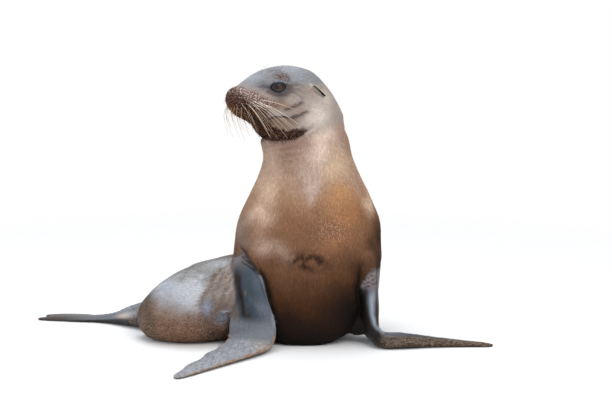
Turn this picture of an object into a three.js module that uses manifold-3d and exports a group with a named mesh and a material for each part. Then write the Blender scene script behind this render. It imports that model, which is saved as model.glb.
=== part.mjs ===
// A young sea lion sitting upright, life size, in millimetres with +Z up.
// The chest faces -Y. The head is turned to the animal's right, so the nose points to -X, and the hind
// body lies along the floor towards -X. Each limb, and each stretch of the body, is a loft through a few
// named stations. The lofts are joined, levelled off at the floor and parted with thin cuts.
import * as THREE from 'three';
import { LoftGeometry } from 'three/addons/geometries/LoftGeometry.js';
import { mergeVertices } from 'three/addons/utils/BufferGeometryUtils.js';
import Module from 'manifold-3d';

const wasm = await Module();
wasm.setup();

const GAP = 0.3; // clearance between neighbouring pieces
const FAR = 3000; // reach of a cutting block, well past the animal
const DEG = Math.PI / 180;

// ---- driving dimensions ----------------------------------------------------------------------------

// Torso, from the floor to inside the head: level sections. x is the middle, y the widest line, wide the
// half width, front and back the reach to the breast and to the spine. round is 1 for an ellipse and less
// where the belly settles square on the floor.
const TORSO = [
  { z: -20, x: -8, y: 10, wide: 40, front: 50, back: 60, round: 0.8 },
  { z: 0, x: -12, y: 12, wide: 70, front: 100, back: 95, round: 0.76 },
  { z: 12, x: -12, y: 16, wide: 94, front: 114, back: 110, round: 0.72 },
  { z: 30, x: -8, y: 22, wide: 115, front: 128, back: 126, round: 0.72 },
  { z: 77, x: -3, y: 29, wide: 141, front: 143, back: 144, round: 0.8 },
  { z: 123, x: -3, y: 33, wide: 152, front: 151, back: 148, round: 0.9 },
  { z: 170, x: -4, y: 34, wide: 159, front: 155, back: 144, round: 0.96 },
  { z: 214, x: -4, y: 32, wide: 162, front: 153, back: 138, round: 1 },
  { z: 259, x: -3, y: 30, wide: 157, front: 145, back: 128, round: 1 },
  { z: 304, x: -3, y: 28, wide: 140, front: 130, back: 118, round: 1 },
  { z: 348, x: -1, y: 25, wide: 118, front: 115, back: 108, round: 1 },
  { z: 393, x: -4, y: 20, wide: 102, front: 104, back: 100, round: 1 },
  { z: 439, x: -12, y: 14, wide: 97, front: 94, back: 92, round: 1 },
  { z: 482, x: -16, y: 8, wide: 84, front: 80, back: 82, round: 1 },
  { z: 525, x: -16, y: 2, wide: 68, front: 60, back: 66, round: 1 },
  { z: 556, x: -20, y: 0, wide: 40, front: 36, back: 40, round: 1 },
];

// Hind body, from inside the chest to the rump: upright sections across its path over the floor. Its lower
// half settles on the floor, fuller than an ellipse.
const HIND = [
  { x: 30, y: 96, z: 118, wide: 96, up: 84, down: 110 },
  { x: -40, y: 88, z: 112, wide: 116, up: 86, down: 118 },
  { x: -115, y: 58, z: 103, wide: 114, up: 79, down: 109 },
  { x: -188, y: 24, z: 93, wide: 110, up: 80, down: 100 },
  { x: -254, y: -4, z: 81, wide: 111, up: 79, down: 88 },
  { x: -308, y: -6, z: 68, wide: 92, up: 72, down: 74 },
  { x: -347, y: 8, z: 56, wide: 59, up: 50, down: 56 },
  { x: -368, y: 22, z: 47, wide: 22, up: 17, down: 22 },
];

const HIND_SETTLE = 0.8; // 1 for an ellipse

// Head, along its own +X to the nose: mid is the height of the widest line.
const HEAD_AT = [-11, 0, 525];
const HEAD_TURN = 202 * DEG; // nose from +X round to the animal's right, a little forward of square
const HEAD = [
  { x: -78, mid: -34, wide: 28, up: 12, down: 26 },
  { x: -62, mid: -26, wide: 50, up: 27, down: 44 },
  { x: -42, mid: -14, wide: 65, up: 49, down: 60 },
  { x: -14, mid: -6, wide: 72, up: 70, down: 72 },
  { x: 16, mid: -4, wide: 73, up: 79, down: 72 },
  { x: 46, mid: -3, wide: 69, up: 82, down: 72 },
  { x: 76, mid: -2, wide: 62, up: 78, down: 77 },
  { x: 100, mid: -4, wide: 53, up: 74, down: 75 },
  { x: 115, mid: -4, wide: 48, up: 68, down: 56 },
  { x: 128, mid: -4, wide: 45, up: 61, down: 40 },
  { x: 145, mid: -3, wide: 43, up: 48, down: 33 },
  { x: 157, mid: -1, wide: 41, up: 38, down: 29 },
  { x: 167, mid: 2, wide: 35, up: 31, down: 22 },
  { x: 175, mid: 6, wide: 26, up: 19, down: 14 },
  { x: 178, mid: 7, wide: 12, up: 9, down: 8 },
];
const MOUTH = { corner: 42, height: -28, rise: -11 }; // from the corner forwards, rising by rise degrees
const NOSE_PAD = { x: 167.5, z: 14, long: 13, wide: 17, tall: 14 };
const EYE = { x: 78, y: 37, z: 33, radius: 19 };
const EAR = { x: 7, y: 66, z: 34, sunk: 4, length: 33, root: 7, tip: 2.2, sweep: 38, flare: 16 };

// Fore flippers, from inside the shoulder to the tip. chord points to the leading edge and face out of the
// upper side, each as a direction over [x, y, z]. lead and trail are the reach to the two edges, over and
// under the half thickness to the upper side and to the palm.
const FORE_RIGHT = [
  { at: [-100, 4, 226], chord: [0.35, -0.94, 0], face: [-0.94, -0.35, 0],
    lead: 52, trail: 58, over: 38, under: 30 },
  { at: [-132, -44, 186], chord: [0.52, -0.85, 0], face: [-0.85, -0.52, 0],
    lead: 38, trail: 56, over: 24, under: 40 },
  { at: [-140, -76, 138], chord: [0.72, -0.69, 0], face: [-0.69, -0.72, 0],
    lead: 48, trail: 52, over: 18, under: 44 },
  { at: [-133, -94, 92], chord: [0.93, -0.36, 0], face: [-0.36, -0.93, 0],
    lead: 50, trail: 47, over: 16, under: 30 },
  { at: [-126, -101, 54], chord: [1, -0.05, 0], face: [-0.05, -1, 0.1],
    lead: 53, trail: 50, over: 14, under: 18 },
  { at: [-127, -110, 26], chord: [0.98, -0.2, 0], face: [-0.15, -0.8, 0.6],
    lead: 55, trail: 52, over: 13, under: 14 },
  { at: [-136, -132, 12], chord: [0.93, -0.38, 0], face: [-0.1, -0.3, 0.95],
    lead: 55, trail: 54, over: 13, under: 14 },
  { at: [-158, -172, 9], chord: [0.87, -0.5, 0], face: [0, 0, 1],
    lead: 48, trail: 52, over: 11, under: 11 },
  { at: [-191, -228, 7], chord: [0.85, -0.53, 0], face: [0, 0, 1],
    lead: 35, trail: 41, over: 9, under: 9 },
  { at: [-229, -290, 5.5], chord: [0.85, -0.53, 0], face: [0, 0, 1],
    lead: 23, trail: 29, over: 7, under: 7 },
  { at: [-257, -336, 4], chord: [0.85, -0.53, 0], face: [0, 0, 1],
    lead: 14, trail: 17, over: 5, under: 5 },
  { at: [-268, -354, 3.2], chord: [0.85, -0.53, 0], face: [0, 0, 1],
    lead: 6, trail: 7, over: 3, under: 3.5 },
];
const FORE_LEFT = [
  { at: [96, 12, 226], chord: [-0.2, -0.98, 0], face: [0.98, -0.2, 0],
    lead: 54, trail: 58, over: 38, under: 30 },
  { at: [132, -28, 182], chord: [-0.15, -0.99, 0], face: [0.99, -0.15, 0],
    lead: 60, trail: 54, over: 22, under: 40 },
  { at: [137, -50, 132], chord: [-0.08, -1, 0], face: [1, -0.08, 0],
    lead: 56, trail: 50, over: 16, under: 40 },
  { at: [130, -60, 88], chord: [0.22, -0.98, 0], face: [0.98, 0.22, 0],
    lead: 54, trail: 47, over: 15, under: 26 },
  { at: [130, -66, 52], chord: [0.27, -0.96, 0], face: [0.96, 0.27, 0.1],
    lead: 53, trail: 48, over: 13, under: 17 },
  { at: [139, -68, 26], chord: [0.12, -0.99, 0], face: [0.75, 0.09, 0.66],
    lead: 55, trail: 50, over: 13, under: 20 },
  { at: [164, -70, 12], chord: [0, -1, 0], face: [0.2, 0, 0.98],
    lead: 58, trail: 52, over: 14, under: 18 },
  { at: [204, -72, 10], chord: [0.02, -1, 0], face: [0, 0, 1],
    lead: 52, trail: 48, over: 13, under: 12 },
  { at: [258, -76, 7.5], chord: [0.06, -1, 0], face: [0, 0, 1],
    lead: 36, trail: 38, over: 10, under: 9.5 },
  { at: [318, -83, 5.5], chord: [0.1, -1, 0], face: [0, 0, 1],
    lead: 23, trail: 27, over: 7, under: 7 },
  { at: [374, -92, 4], chord: [0.14, -1, 0], face: [0, 0, 1],
    lead: 12, trail: 15, over: 5, under: 5 },
  { at: [396, -95, 3.2], chord: [0.14, -1, 0], face: [0, 0, 1],
    lead: 5, trail: 6, over: 3, under: 3.5 },
];
const ARMPIT = { at: [104, -50, 46], size: [30, 26, 32] }; // the fold that fills the left arm's corner
const WRIST_RIGHT = { at: [-136, -132, 12], heading: [-0.45, -0.89, 0.1] }; // where arm and hand part
const WRIST_LEFT = { at: [170, -70, 13], heading: [1, -0.02, 0.1] };

// Hind flippers, from inside the rump over the ankle to the toe tips, on the same plan.
const HIND_RIGHT = [
  { at: [-298, 14, 46], chord: [-0.6, -0.8, 0], face: [0, 0, 1],
    lead: 34, trail: 34, over: 30, under: 40 },
  { at: [-346, 56, 34], chord: [-0.6, -0.8, 0], face: [0, 0, 1],
    lead: 34, trail: 32, over: 32, under: 34 },
  { at: [-402, 102, 20], chord: [-0.52, -0.85, 0], face: [0, 0, 1],
    lead: 33, trail: 31, over: 25, under: 21 },
  { at: [-468, 138, 9.5], chord: [-0.36, -0.93, 0], face: [0, 0, 1],
    lead: 27, trail: 26, over: 9, under: 11 },
  { at: [-556, 156, 5.5], chord: [-0.16, -0.99, 0], face: [0, 0, 1],
    lead: 22, trail: 22, over: 5, under: 6.5 },
];
const HIND_LEFT = [
  { at: [-276, 44, 46], chord: [-0.98, 0.2, 0], face: [0, 0, 1],
    lead: 34, trail: 34, over: 30, under: 40 },
  { at: [-294, 100, 33], chord: [-0.97, -0.25, 0], face: [0, 0, 1],
    lead: 32, trail: 32, over: 24, under: 33 },
  { at: [-310, 152, 18], chord: [-0.97, -0.25, 0], face: [0, 0, 1],
    lead: 34, trail: 34, over: 14, under: 19 },
  { at: [-324, 206, 9.5], chord: [-0.98, -0.2, 0], face: [0, 0, 1],
    lead: 38, trail: 38, over: 8.5, under: 11 },
  { at: [-334, 262, 5.5], chord: [-0.99, -0.12, 0], face: [0, 0, 1],
    lead: 42, trail: 42, over: 5, under: 6.5 },
];
const ANKLE_SHARE = 0.3; // of the way along the stations, where shank and foot part
// The toes fan out from the web: the outer two are the longest and broadest.
const TOES = [
  { reach: 124, broad: 11 },
  { reach: 84, broad: 9 },
  { reach: 78, broad: 9 },
  { reach: 84, broad: 9 },
  { reach: 112, broad: 10.5 },
];
const TOE_ROOT = 0.35; // of a toe's reach, within the web
const TOE_SPREAD = { right: 5 * DEG, left: 26 * DEG }; // between the first and the last toe
// Claws start at a share of the toe's reach, rise above the floor.
const CLAW = { length: 14, radius: 2.4, tip: 0.9, share: 0.52, rise: 9, toes: [1, 2, 3] };

const TAIL = { from: [-330, 36, 66], to: [-392, 92, 44], root: 17, tip: 6 };

// Where the body is parted, as a point and the direction towards the head end.
const NAPE = { at: [-14, 8, 462], towards: [-0.42, -0.1, 0.9] };
const COLLAR = { at: [0, 28, 318], towards: [0, -0.05, 1] };
const FLANK = { at: [-196, 62, 86], towards: [1, -0.12, 0.05] };

const SIDES = { torso: 32, hind: 26, head: 24, flipper: 14, toe: 6, eye: 12, nose: 10, small: 8 };
const STEPS = { torso: 21, hind: 14, head: 19, fore: 20, foot: 6, toe: 3, eye: 8, nose: 7, small: 3 };

// ---- lofting -------------------------------------------------------------------------------------------

// A size, or a list of sizes, at u counted in stations, by a Catmull-Rom curve through them all.
function between(stations, key, u) {
  const last = stations.length - 1;
  const i = Math.min(Math.floor(u), last - 1);
  const t = u - i;
  const value = (k) => stations[Math.max(0, Math.min(last, k))][key];
  const [a, b, c, d] = [i - 1, i, i + 1, i + 2].map(value);
  const mix = (p, q, r, s) =>
    q + 0.5 * t * (r - p + t * (2 * p - 5 * q + 4 * r - s + t * (3 * (q - r) + s - p)));
  return Array.isArray(b) ? b.map((_, k) => mix(a[k], b[k], c[k], d[k])) : mix(a, b, c, d);
}

// Rings of points from section(u, across, above), which places the unit circle's point at station u.
function rings(stations, steps, sides, section) {
  const made = [];
  for (let i = 0; i <= steps; i++) {
    const u = ((stations.length - 1) * i) / steps;
    const ring = [];
    for (let j = 0; j < sides; j++) {
      const angle = (2 * Math.PI * j) / sides;
      ring.push(section(u, Math.cos(angle), Math.sin(angle)));
    }
    made.push(ring);
  }
  return made;
}

// A closed three.js geometry as a manifold-3d solid. grow swells it along its normals, which leaves the
// clearance when it cuts a neighbour.
function solid(geometry, grow = 0) {
  const bare = new THREE.BufferGeometry()
    .setAttribute('position', geometry.attributes.position)
    .setIndex(geometry.index);
  const merged = mergeVertices(bare, 1e-4);
  merged.computeVertexNormals();
  const { position, normal } = merged.attributes;
  for (let i = 0; i < position.count; i++) {
    const out = new THREE.Vector3().fromBufferAttribute(normal, i);
    const moved = new THREE.Vector3().fromBufferAttribute(position, i).addScaledVector(out, grow);
    position.setXYZ(i, moved.x, moved.y, moved.z);
  }
  const triVerts = new Uint32Array(merged.index.array);
  return new wasm.Manifold(new wasm.Mesh({ numProp: 3, vertProperties: position.array, triVerts }));
}

// The rings are turned where they run clockwise, so that the wall of the loft faces out like its caps.
function loft(stations, steps, sides, section, grow = 0) {
  const made = rings(stations, steps, sides, section);
  const [first, next] = made;
  const heading = next[0].clone().sub(first[0]);
  const quarter = Math.floor(sides / 4);
  const across = first[0].clone().sub(first[2 * quarter]);
  const above = first[quarter].clone().sub(first[3 * quarter]);
  if (across.cross(above).dot(heading) < 0) made.forEach((ring) => ring.reverse());
  return solid(new LoftGeometry(made, { capStart: true, capEnd: true }), grow);
}

// Squares off a circle's coordinate where the power is under 1.
function fuller(value, power) {
  return Math.sign(value) * Math.abs(value) ** power;
}

function torso(grow = 0) {
  const section = (u, across, above) => {
    const size = (key) => between(TORSO, key, u);
    const deep = above > 0 ? size('front') : size('back');
    return new THREE.Vector3(
      size('x') + fuller(across, size('round')) * size('wide'),
      size('y') - fuller(above, size('round')) * deep,
      size('z'),
    );
  };
  return loft(TORSO, STEPS.torso, SIDES.torso, section, grow);
}

function hindBody(grow = 0) {
  const section = (u, across, above) => {
    const size = (key) => between(HIND, key, u);
    const ahead = Math.min(u + 0.01, HIND.length - 1);
    const slope = (key) => between(HIND, key, ahead) - between(HIND, key, ahead - 0.01);
    const run = new THREE.Vector2(slope('x'), slope('y')).normalize();
    const tall = above > 0 ? size('up') : size('down');
    const power = above > 0 ? 1 : HIND_SETTLE;
    const out = fuller(across, power) * size('wide');
    const rise = fuller(above, power) * tall;
    return new THREE.Vector3(size('x') - run.y * out, size('y') + run.x * out, size('z') + rise);
  };
  return loft(HIND, STEPS.hind, SIDES.hind, section, grow);
}

// Shapes made in the head's own frame are placed with this.
const headFrame = new THREE.Matrix4()
  .makeRotationZ(HEAD_TURN)
  .setPosition(...HEAD_AT);

function head(grow = 0) {
  const section = (u, across, above) => {
    const size = (key) => between(HEAD, key, u);
    const tall = above > 0 ? size('up') : size('down');
    const point = new THREE.Vector3(size('x'), across * size('wide'), size('mid') + above * tall);
    return point.applyMatrix4(headFrame);
  };
  return loft(HEAD, STEPS.head, SIDES.head, section, grow);
}

// A flat limb: full and round along the leading edge, thin along the trailing one.
const TRAILING_THIN = 0.6;
function flipper(stations, steps, grow = 0) {
  const section = (u, across, above) => {
    const size = (key) => between(stations, key, u);
    const chord = new THREE.Vector3(...size('chord')).normalize();
    const face = new THREE.Vector3(...size('face')).normalize();
    const reach = across > 0 ? size('lead') : size('trail');
    const thick = above > 0 ? size('over') : size('under');
    const thin = across > 0 ? 1 : 1 + TRAILING_THIN * across;
    return new THREE.Vector3(...size('at'))
      .addScaledVector(chord, across * reach)
      .addScaledVector(face, above * thick * thin);
  };
  return loft(stations, steps, SIDES.flipper, section, grow);
}

function armpit() {
  const geometry = new THREE.SphereGeometry(1, SIDES.small, STEPS.eye);
  geometry.scale(...ARMPIT.size);
  geometry.translate(...ARMPIT.at);
  return solid(geometry);
}

// A round taper between two points, with a rounded tip.
function taper(from, to, root, tip, grow = 0) {
  const a = new THREE.Vector3(...from);
  const b = new THREE.Vector3(...to);
  const long = b.clone().sub(a).length();
  const outline = new THREE.Path()
    .moveTo(0, 0)
    .lineTo(root, 0)
    .lineTo(tip, long - tip)
    .quadraticCurveTo(tip, long, 0, long);
  const geometry = new THREE.LatheGeometry(outline.getPoints(STEPS.small), SIDES.small);
  const turn = new THREE.Quaternion().setFromUnitVectors(
    new THREE.Vector3(0, 1, 0),
    b.clone().sub(a).normalize(),
  );
  geometry.applyQuaternion(turn);
  geometry.translate(...from);
  return solid(geometry, grow);
}

// Half of space, on the side that towards points to.
function halfSpace(at, towards) {
  const block = new THREE.BoxGeometry(FAR, FAR, FAR);
  block.translate(0, 0, FAR / 2);
  const turn = new THREE.Quaternion().setFromUnitVectors(
    new THREE.Vector3(0, 0, 1),
    new THREE.Vector3(...towards).normalize(),
  );
  block.applyQuaternion(turn);
  block.translate(...at);
  return solid(block);
}

// The two sides of a cut, a gap apart: [the side that towards points to, the other].
function part(whole, { at, towards }) {
  const step = new THREE.Vector3(...towards).normalize().multiplyScalar(GAP);
  const shifted = new THREE.Vector3(...at).add(step).toArray();
  return [whole.intersect(halfSpace(shifted, towards)), whole.subtract(halfSpace(at, towards))];
}

// The biggest closed body of a solid, which drops slivers that a cut leaves.
function biggest(whole) {
  return whole.decompose().reduce((a, b) => (a.volume() > b.volume() ? a : b));
}

// ---- hind flippers ---------------------------------------------------------------------------------------

// The toes' directions and starts, evenly spaced over the width of the web's end.
function toeLines(stations, spread) {
  const last = stations[stations.length - 1];
  const before = stations[stations.length - 2];
  const heading = new THREE.Vector3(...last.at).sub(new THREE.Vector3(...before.at)).setZ(0).normalize();
  const chord = new THREE.Vector3(...last.chord).normalize();
  return TOES.map((toe, i) => {
    const share = i / (TOES.length - 1) - 0.5;
    const start = new THREE.Vector3(...last.at)
      .addScaledVector(chord, -2 * share * (last.lead - toe.broad))
      .addScaledVector(heading, -toe.reach * TOE_ROOT);
    const turned = heading.clone().applyAxisAngle(new THREE.Vector3(0, 0, 1), -share * spread);
    return { ...toe, start, heading: turned, chord };
  });
}

// One toe: a flattened finger that thins out to a soft flap past the claw.
function toe({ start, heading, reach, broad }) {
  const side = new THREE.Vector3(-heading.y, heading.x, 0);
  const stations = [
    { along: 0, wide: 0.7, thick: 6, z: 5 },
    { along: 0.45, wide: 1, thick: 5.4, z: 4.6 },
    { along: 0.85, wide: 0.9, thick: 4, z: 3.2 },
    { along: 1, wide: 0.45, thick: 2.8, z: 2 },
  ];
  return loft(stations, STEPS.toe, SIDES.toe, (u, across, above) => {
    const size = (key) => between(stations, key, u);
    return start
      .clone()
      .setZ(size('z'))
      .addScaledVector(heading, size('along') * reach)
      .addScaledVector(side, across * size('wide') * broad)
      .add(new THREE.Vector3(0, 0, above * size('thick')));
  });
}

function claws(side, stations, spread) {
  const lines = toeLines(stations, spread);
  return CLAW.toes.map((i) => {
    const { start, heading, reach } = lines[i];
    const root = start.clone().setZ(CLAW.rise).addScaledVector(heading, reach * CLAW.share);
    const tip = root.clone().addScaledVector(heading, CLAW.length);
    return {
      name: `claw_${side}_${i + 1}`,
      shape: (grow) => taper(root.toArray(), tip.toArray(), CLAW.radius, CLAW.tip, grow),
    };
  });
}

function foot(stations, spread) {
  const toes = toeLines(stations, spread).map(toe);
  return toes.reduce((whole, next) => whole.add(next), flipper(stations, STEPS.foot));
}

// ---- ears ------------------------------------------------------------------------------------------------

// A small furled cone that lies back along the head. side is 1 on the left and -1 on the right.
function ear(side) {
  const sweep = EAR.sweep * DEG;
  const flare = EAR.flare * DEG;
  const root = new THREE.Vector3(EAR.x, side * (EAR.y - EAR.sunk), EAR.z);
  const run = new THREE.Vector3(-Math.cos(sweep) * Math.cos(flare), side * Math.sin(flare), -Math.sin(sweep));
  const tip = root.clone().addScaledVector(run, EAR.length);
  const ends = [root, tip].map((p) => p.applyMatrix4(headFrame).toArray());
  return taper(...ends, EAR.root, EAR.tip);
}

// ---- the animal ------------------------------------------------------------------------------------------

const aboveFloor = halfSpace([0, 0, 0], [0, 0, 1]);
const level = (whole) => biggest(whole.intersect(aboveFloor));

const eyes = [1, -1].map((side) => {
  const ball = (grow) => {
    const sphere = new THREE.SphereGeometry(EYE.radius, SIDES.eye, STEPS.eye);
    sphere.translate(EYE.x, side * EYE.y, EYE.z);
    sphere.applyMatrix4(headFrame);
    return solid(sphere, grow);
  };
  return { name: side > 0 ? 'eye_left' : 'eye_right', shape: ball };
});

function nosePad(grow = 0) {
  const pad = new THREE.SphereGeometry(1, SIDES.nose, STEPS.nose);
  pad.scale(NOSE_PAD.long, NOSE_PAD.wide, NOSE_PAD.tall);
  pad.translate(NOSE_PAD.x, 0, NOSE_PAD.z);
  pad.applyMatrix4(headFrame);
  return solid(pad, grow);
}

// The wedge under the mouth line, as a block in the head's frame.
function underMouth(shift) {
  const block = new THREE.BoxGeometry(FAR, FAR, FAR);
  block.translate(FAR / 2, 0, -FAR / 2);
  block.rotateY(-MOUTH.rise * DEG);
  block.translate(MOUTH.corner - shift, 0, MOUTH.height + shift);
  block.applyMatrix4(headFrame);
  return solid(block);
}

const grownTrunk = torso(GAP).add(hindBody(GAP));
const [headEnd, belowNape] = part(torso().add(head()), NAPE);
const [neck, chest] = part(belowNape, COLLAR);
const [loin, rump] = part(biggest(hindBody().subtract(torso(GAP))), FLANK);

const cutters = eyes.map((eye) => eye.shape(GAP)).concat(nosePad(GAP));
const skin = cutters.reduce((whole, cutter) => whole.subtract(cutter), headEnd);
const jaw = skin.intersect(underMouth(0)).subtract(torso(GAP));
const face = skin.subtract(underMouth(GAP).subtract(torso()));

function armAndHand(whole, wrist) {
  const cut = { at: wrist.at, towards: wrist.heading };
  const [hand, arm] = part(whole.subtract(grownTrunk), cut);
  return [biggest(arm), biggest(hand)];
}

function shankAndFoot(stations, spread, clawList, taken) {
  const ankle = between(stations, 'at', ANKLE_SHARE * (stations.length - 1));
  const next = between(stations, 'at', ANKLE_SHARE * (stations.length - 1) + 0.2);
  const heading = next.map((v, k) => (k < 2 ? v - ankle[k] : 0));
  const clawRoom = clawList.map((claw) => claw.shape(GAP));
  const bare = clawRoom.reduce((whole, room) => whole.subtract(room), foot(stations, spread));
  const [toes, shank] = part(bare.subtract(taken), { at: ankle, towards: heading });
  return [biggest(shank), biggest(toes)];
}

const clawSets = {
  right: claws('right', HIND_RIGHT, TOE_SPREAD.right),
  left: claws('left', HIND_LEFT, TOE_SPREAD.left),
};
const [armRight, handRight] = armAndHand(flipper(FORE_RIGHT, STEPS.fore), WRIST_RIGHT);
const [armLeft, handLeft] = armAndHand(flipper(FORE_LEFT, STEPS.fore).add(armpit()), WRIST_LEFT);
const beyondTrunk = grownTrunk.add(flipper(HIND_RIGHT, STEPS.foot, GAP));
const beyondFeet = beyondTrunk.add(flipper(HIND_LEFT, STEPS.foot, GAP));
const [shankRight, footRight] = shankAndFoot(HIND_RIGHT, TOE_SPREAD.right, clawSets.right, grownTrunk);
const [shankLeft, footLeft] = shankAndFoot(HIND_LEFT, TOE_SPREAD.left, clawSets.left, beyondTrunk);
const tail = taper(TAIL.from, TAIL.to, TAIL.root, TAIL.tip).subtract(beyondFeet);

const FINISH = {
  coat: new THREE.MeshStandardMaterial({ color: 0x8d7663, roughness: 0.55, metalness: 0 }),
  pale_coat: new THREE.MeshStandardMaterial({ color: 0xb3a394, roughness: 0.6, metalness: 0 }),
  bare_skin: new THREE.MeshStandardMaterial({ color: 0x4f565e, roughness: 0.5, metalness: 0 }),
  eye: new THREE.MeshStandardMaterial({ color: 0x1d1210, roughness: 0.08, metalness: 0 }),
  claw: new THREE.MeshStandardMaterial({ color: 0x2b2622, roughness: 0.4, metalness: 0 }),
};

const pieces = [
  ['head', face, 'pale_coat'],
  ['jaw', jaw, 'pale_coat'],
  ['nose', nosePad(), 'bare_skin'],
  ['neck', neck, 'pale_coat'],
  ['chest', chest, 'coat'],
  ['loin', loin, 'coat'],
  ['rump', rump, 'coat'],
  ['tail', tail, 'coat'],
  ['ear_left', ear(1).subtract(head(GAP)).subtract(torso(GAP)), 'coat'],
  ['ear_right', ear(-1).subtract(head(GAP)).subtract(torso(GAP)), 'coat'],
  ['fore_arm_right', armRight, 'bare_skin'],
  ['fore_hand_right', handRight, 'bare_skin'],
  ['fore_arm_left', armLeft, 'bare_skin'],
  ['fore_hand_left', handLeft, 'bare_skin'],
  ['hind_shank_right', shankRight, 'bare_skin'],
  ['hind_foot_right', footRight, 'bare_skin'],
  ['hind_shank_left', shankLeft, 'bare_skin'],
  ['hind_foot_left', footLeft, 'bare_skin'],
  ...eyes.map((eye) => [eye.name, eye.shape(0), 'eye']),
  ...[...clawSets.right, ...clawSets.left].map((claw) => [claw.name, claw.shape(0), 'claw']),
];

function meshOf(name, whole, finish) {
  const { vertProperties, triVerts } = level(whole).getMesh();
  const geometry = new THREE.BufferGeometry()
    .setAttribute('position', new THREE.BufferAttribute(vertProperties, 3))
    .setIndex(new THREE.BufferAttribute(triVerts, 1));
  geometry.computeVertexNormals();
  const mesh = new THREE.Mesh(geometry, FINISH[finish]);
  mesh.name = name;
  return mesh;
}

// The origin is on the floor, under the middle of the animal's box.
const animal = new THREE.Group();
animal.add(...pieces.map((piece) => meshOf(...piece)));
const middle = new THREE.Box3().setFromObject(animal).getCenter(new THREE.Vector3());
animal.position.set(-middle.x, -middle.y, 0);

export default animal;
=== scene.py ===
"""A young sea lion, life size: one skin on the CAD's lofts, with coat, eyes, ears, whiskers and claws."""

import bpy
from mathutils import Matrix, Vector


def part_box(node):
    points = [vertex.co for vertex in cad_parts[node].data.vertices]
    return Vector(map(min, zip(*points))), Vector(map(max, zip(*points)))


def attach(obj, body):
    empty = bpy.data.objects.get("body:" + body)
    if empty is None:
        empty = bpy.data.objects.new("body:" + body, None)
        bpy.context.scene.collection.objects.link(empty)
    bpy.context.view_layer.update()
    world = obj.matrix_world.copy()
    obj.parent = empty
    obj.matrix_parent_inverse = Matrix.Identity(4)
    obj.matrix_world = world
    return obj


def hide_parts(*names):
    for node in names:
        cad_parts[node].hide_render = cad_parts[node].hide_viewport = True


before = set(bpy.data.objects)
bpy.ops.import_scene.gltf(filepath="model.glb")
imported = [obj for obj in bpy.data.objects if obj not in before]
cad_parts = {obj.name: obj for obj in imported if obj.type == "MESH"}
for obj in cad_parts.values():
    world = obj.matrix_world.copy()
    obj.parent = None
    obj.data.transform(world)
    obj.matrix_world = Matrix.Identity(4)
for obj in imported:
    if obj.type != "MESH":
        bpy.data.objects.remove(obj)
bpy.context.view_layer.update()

import math

import bpy
import numpy as np
import openvdb
from mathutils import Vector

COAT_COUNT = 180000
rng = np.random.default_rng(11)

# ---- the CAD's stations, in millimetres, in its modelling frame ----
# The chest faces -Y, the head turns towards -X and Z is up from the floor.

# z x y wide front back round
TORSO = [
    (-20, -8, 10, 40, 50, 60, 0.8),
    (0, -12, 12, 70, 100, 95, 0.76),
    (12, -12, 16, 94, 114, 110, 0.72),
    (30, -8, 22, 115, 128, 126, 0.72),
    (77, -3, 29, 141, 143, 144, 0.8),
    (123, -3, 33, 152, 151, 148, 0.9),
    (170, -4, 34, 159, 155, 144, 0.96),
    (214, -4, 32, 162, 153, 138, 1),
    (259, -3, 30, 157, 145, 128, 1),
    (304, -3, 28, 140, 130, 118, 1),
    (348, -1, 25, 118, 115, 108, 1),
    (393, -4, 20, 102, 104, 100, 1),
    (439, -12, 14, 97, 94, 92, 1),
    (482, -16, 8, 84, 80, 82, 1),
    (525, -16, 2, 68, 60, 66, 1),
    (556, -20, 0, 40, 36, 40, 1),
]
# x y z wide up down
HIND = [
    (30, 96, 118, 96, 84, 110),
    (-40, 88, 112, 116, 86, 118),
    (-115, 58, 103, 114, 79, 109),
    (-188, 24, 93, 110, 80, 100),
    (-254, -4, 81, 111, 79, 88),
    (-308, -6, 68, 92, 72, 74),
    (-347, 8, 56, 59, 50, 56),
    (-368, 22, 47, 22, 17, 22),
]
HIND_SETTLE = 0.8  # how square the hind body lies below its middle
NUDGE = 0.01       # the step, in rows, that its run is taken over
CHORD_Z = 5        # the place of the chord's height in a flipper's station
HEAD_AT = np.array([-11.0, 0.0, 525.0])
HEAD_TURN = math.radians(202)
# x mid wide up down
HEAD = [
    (-78, -34, 28, 12, 26),
    (-62, -26, 50, 27, 44),
    (-42, -14, 65, 49, 60),
    (-14, -6, 72, 70, 72),
    (16, -4, 73, 79, 72),
    (46, -3, 69, 82, 72),
    (76, -2, 62, 78, 77),
    (100, -4, 53, 74, 75),
    (115, -4, 48, 68, 56),
    (128, -4, 45, 61, 40),
    (145, -3, 43, 48, 33),
    (157, -1, 41, 38, 29),
    (167, 2, 35, 31, 22),
    (175, 6, 26, 19, 14),
    (178, 7, 12, 9, 8),
]
EYE = np.array([78.0, 37.0, 33.0])
EYE_R = 19.0
EAR = dict(at=(7, 62, 34), length=33, root=6.8, tip=2.0, sweep=38, flare=16)


def limb_table(rows):
    """A flipper's stations. Their chords are level."""
    return np.insert(np.array(rows, float), CHORD_Z, 0, 1)


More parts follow.
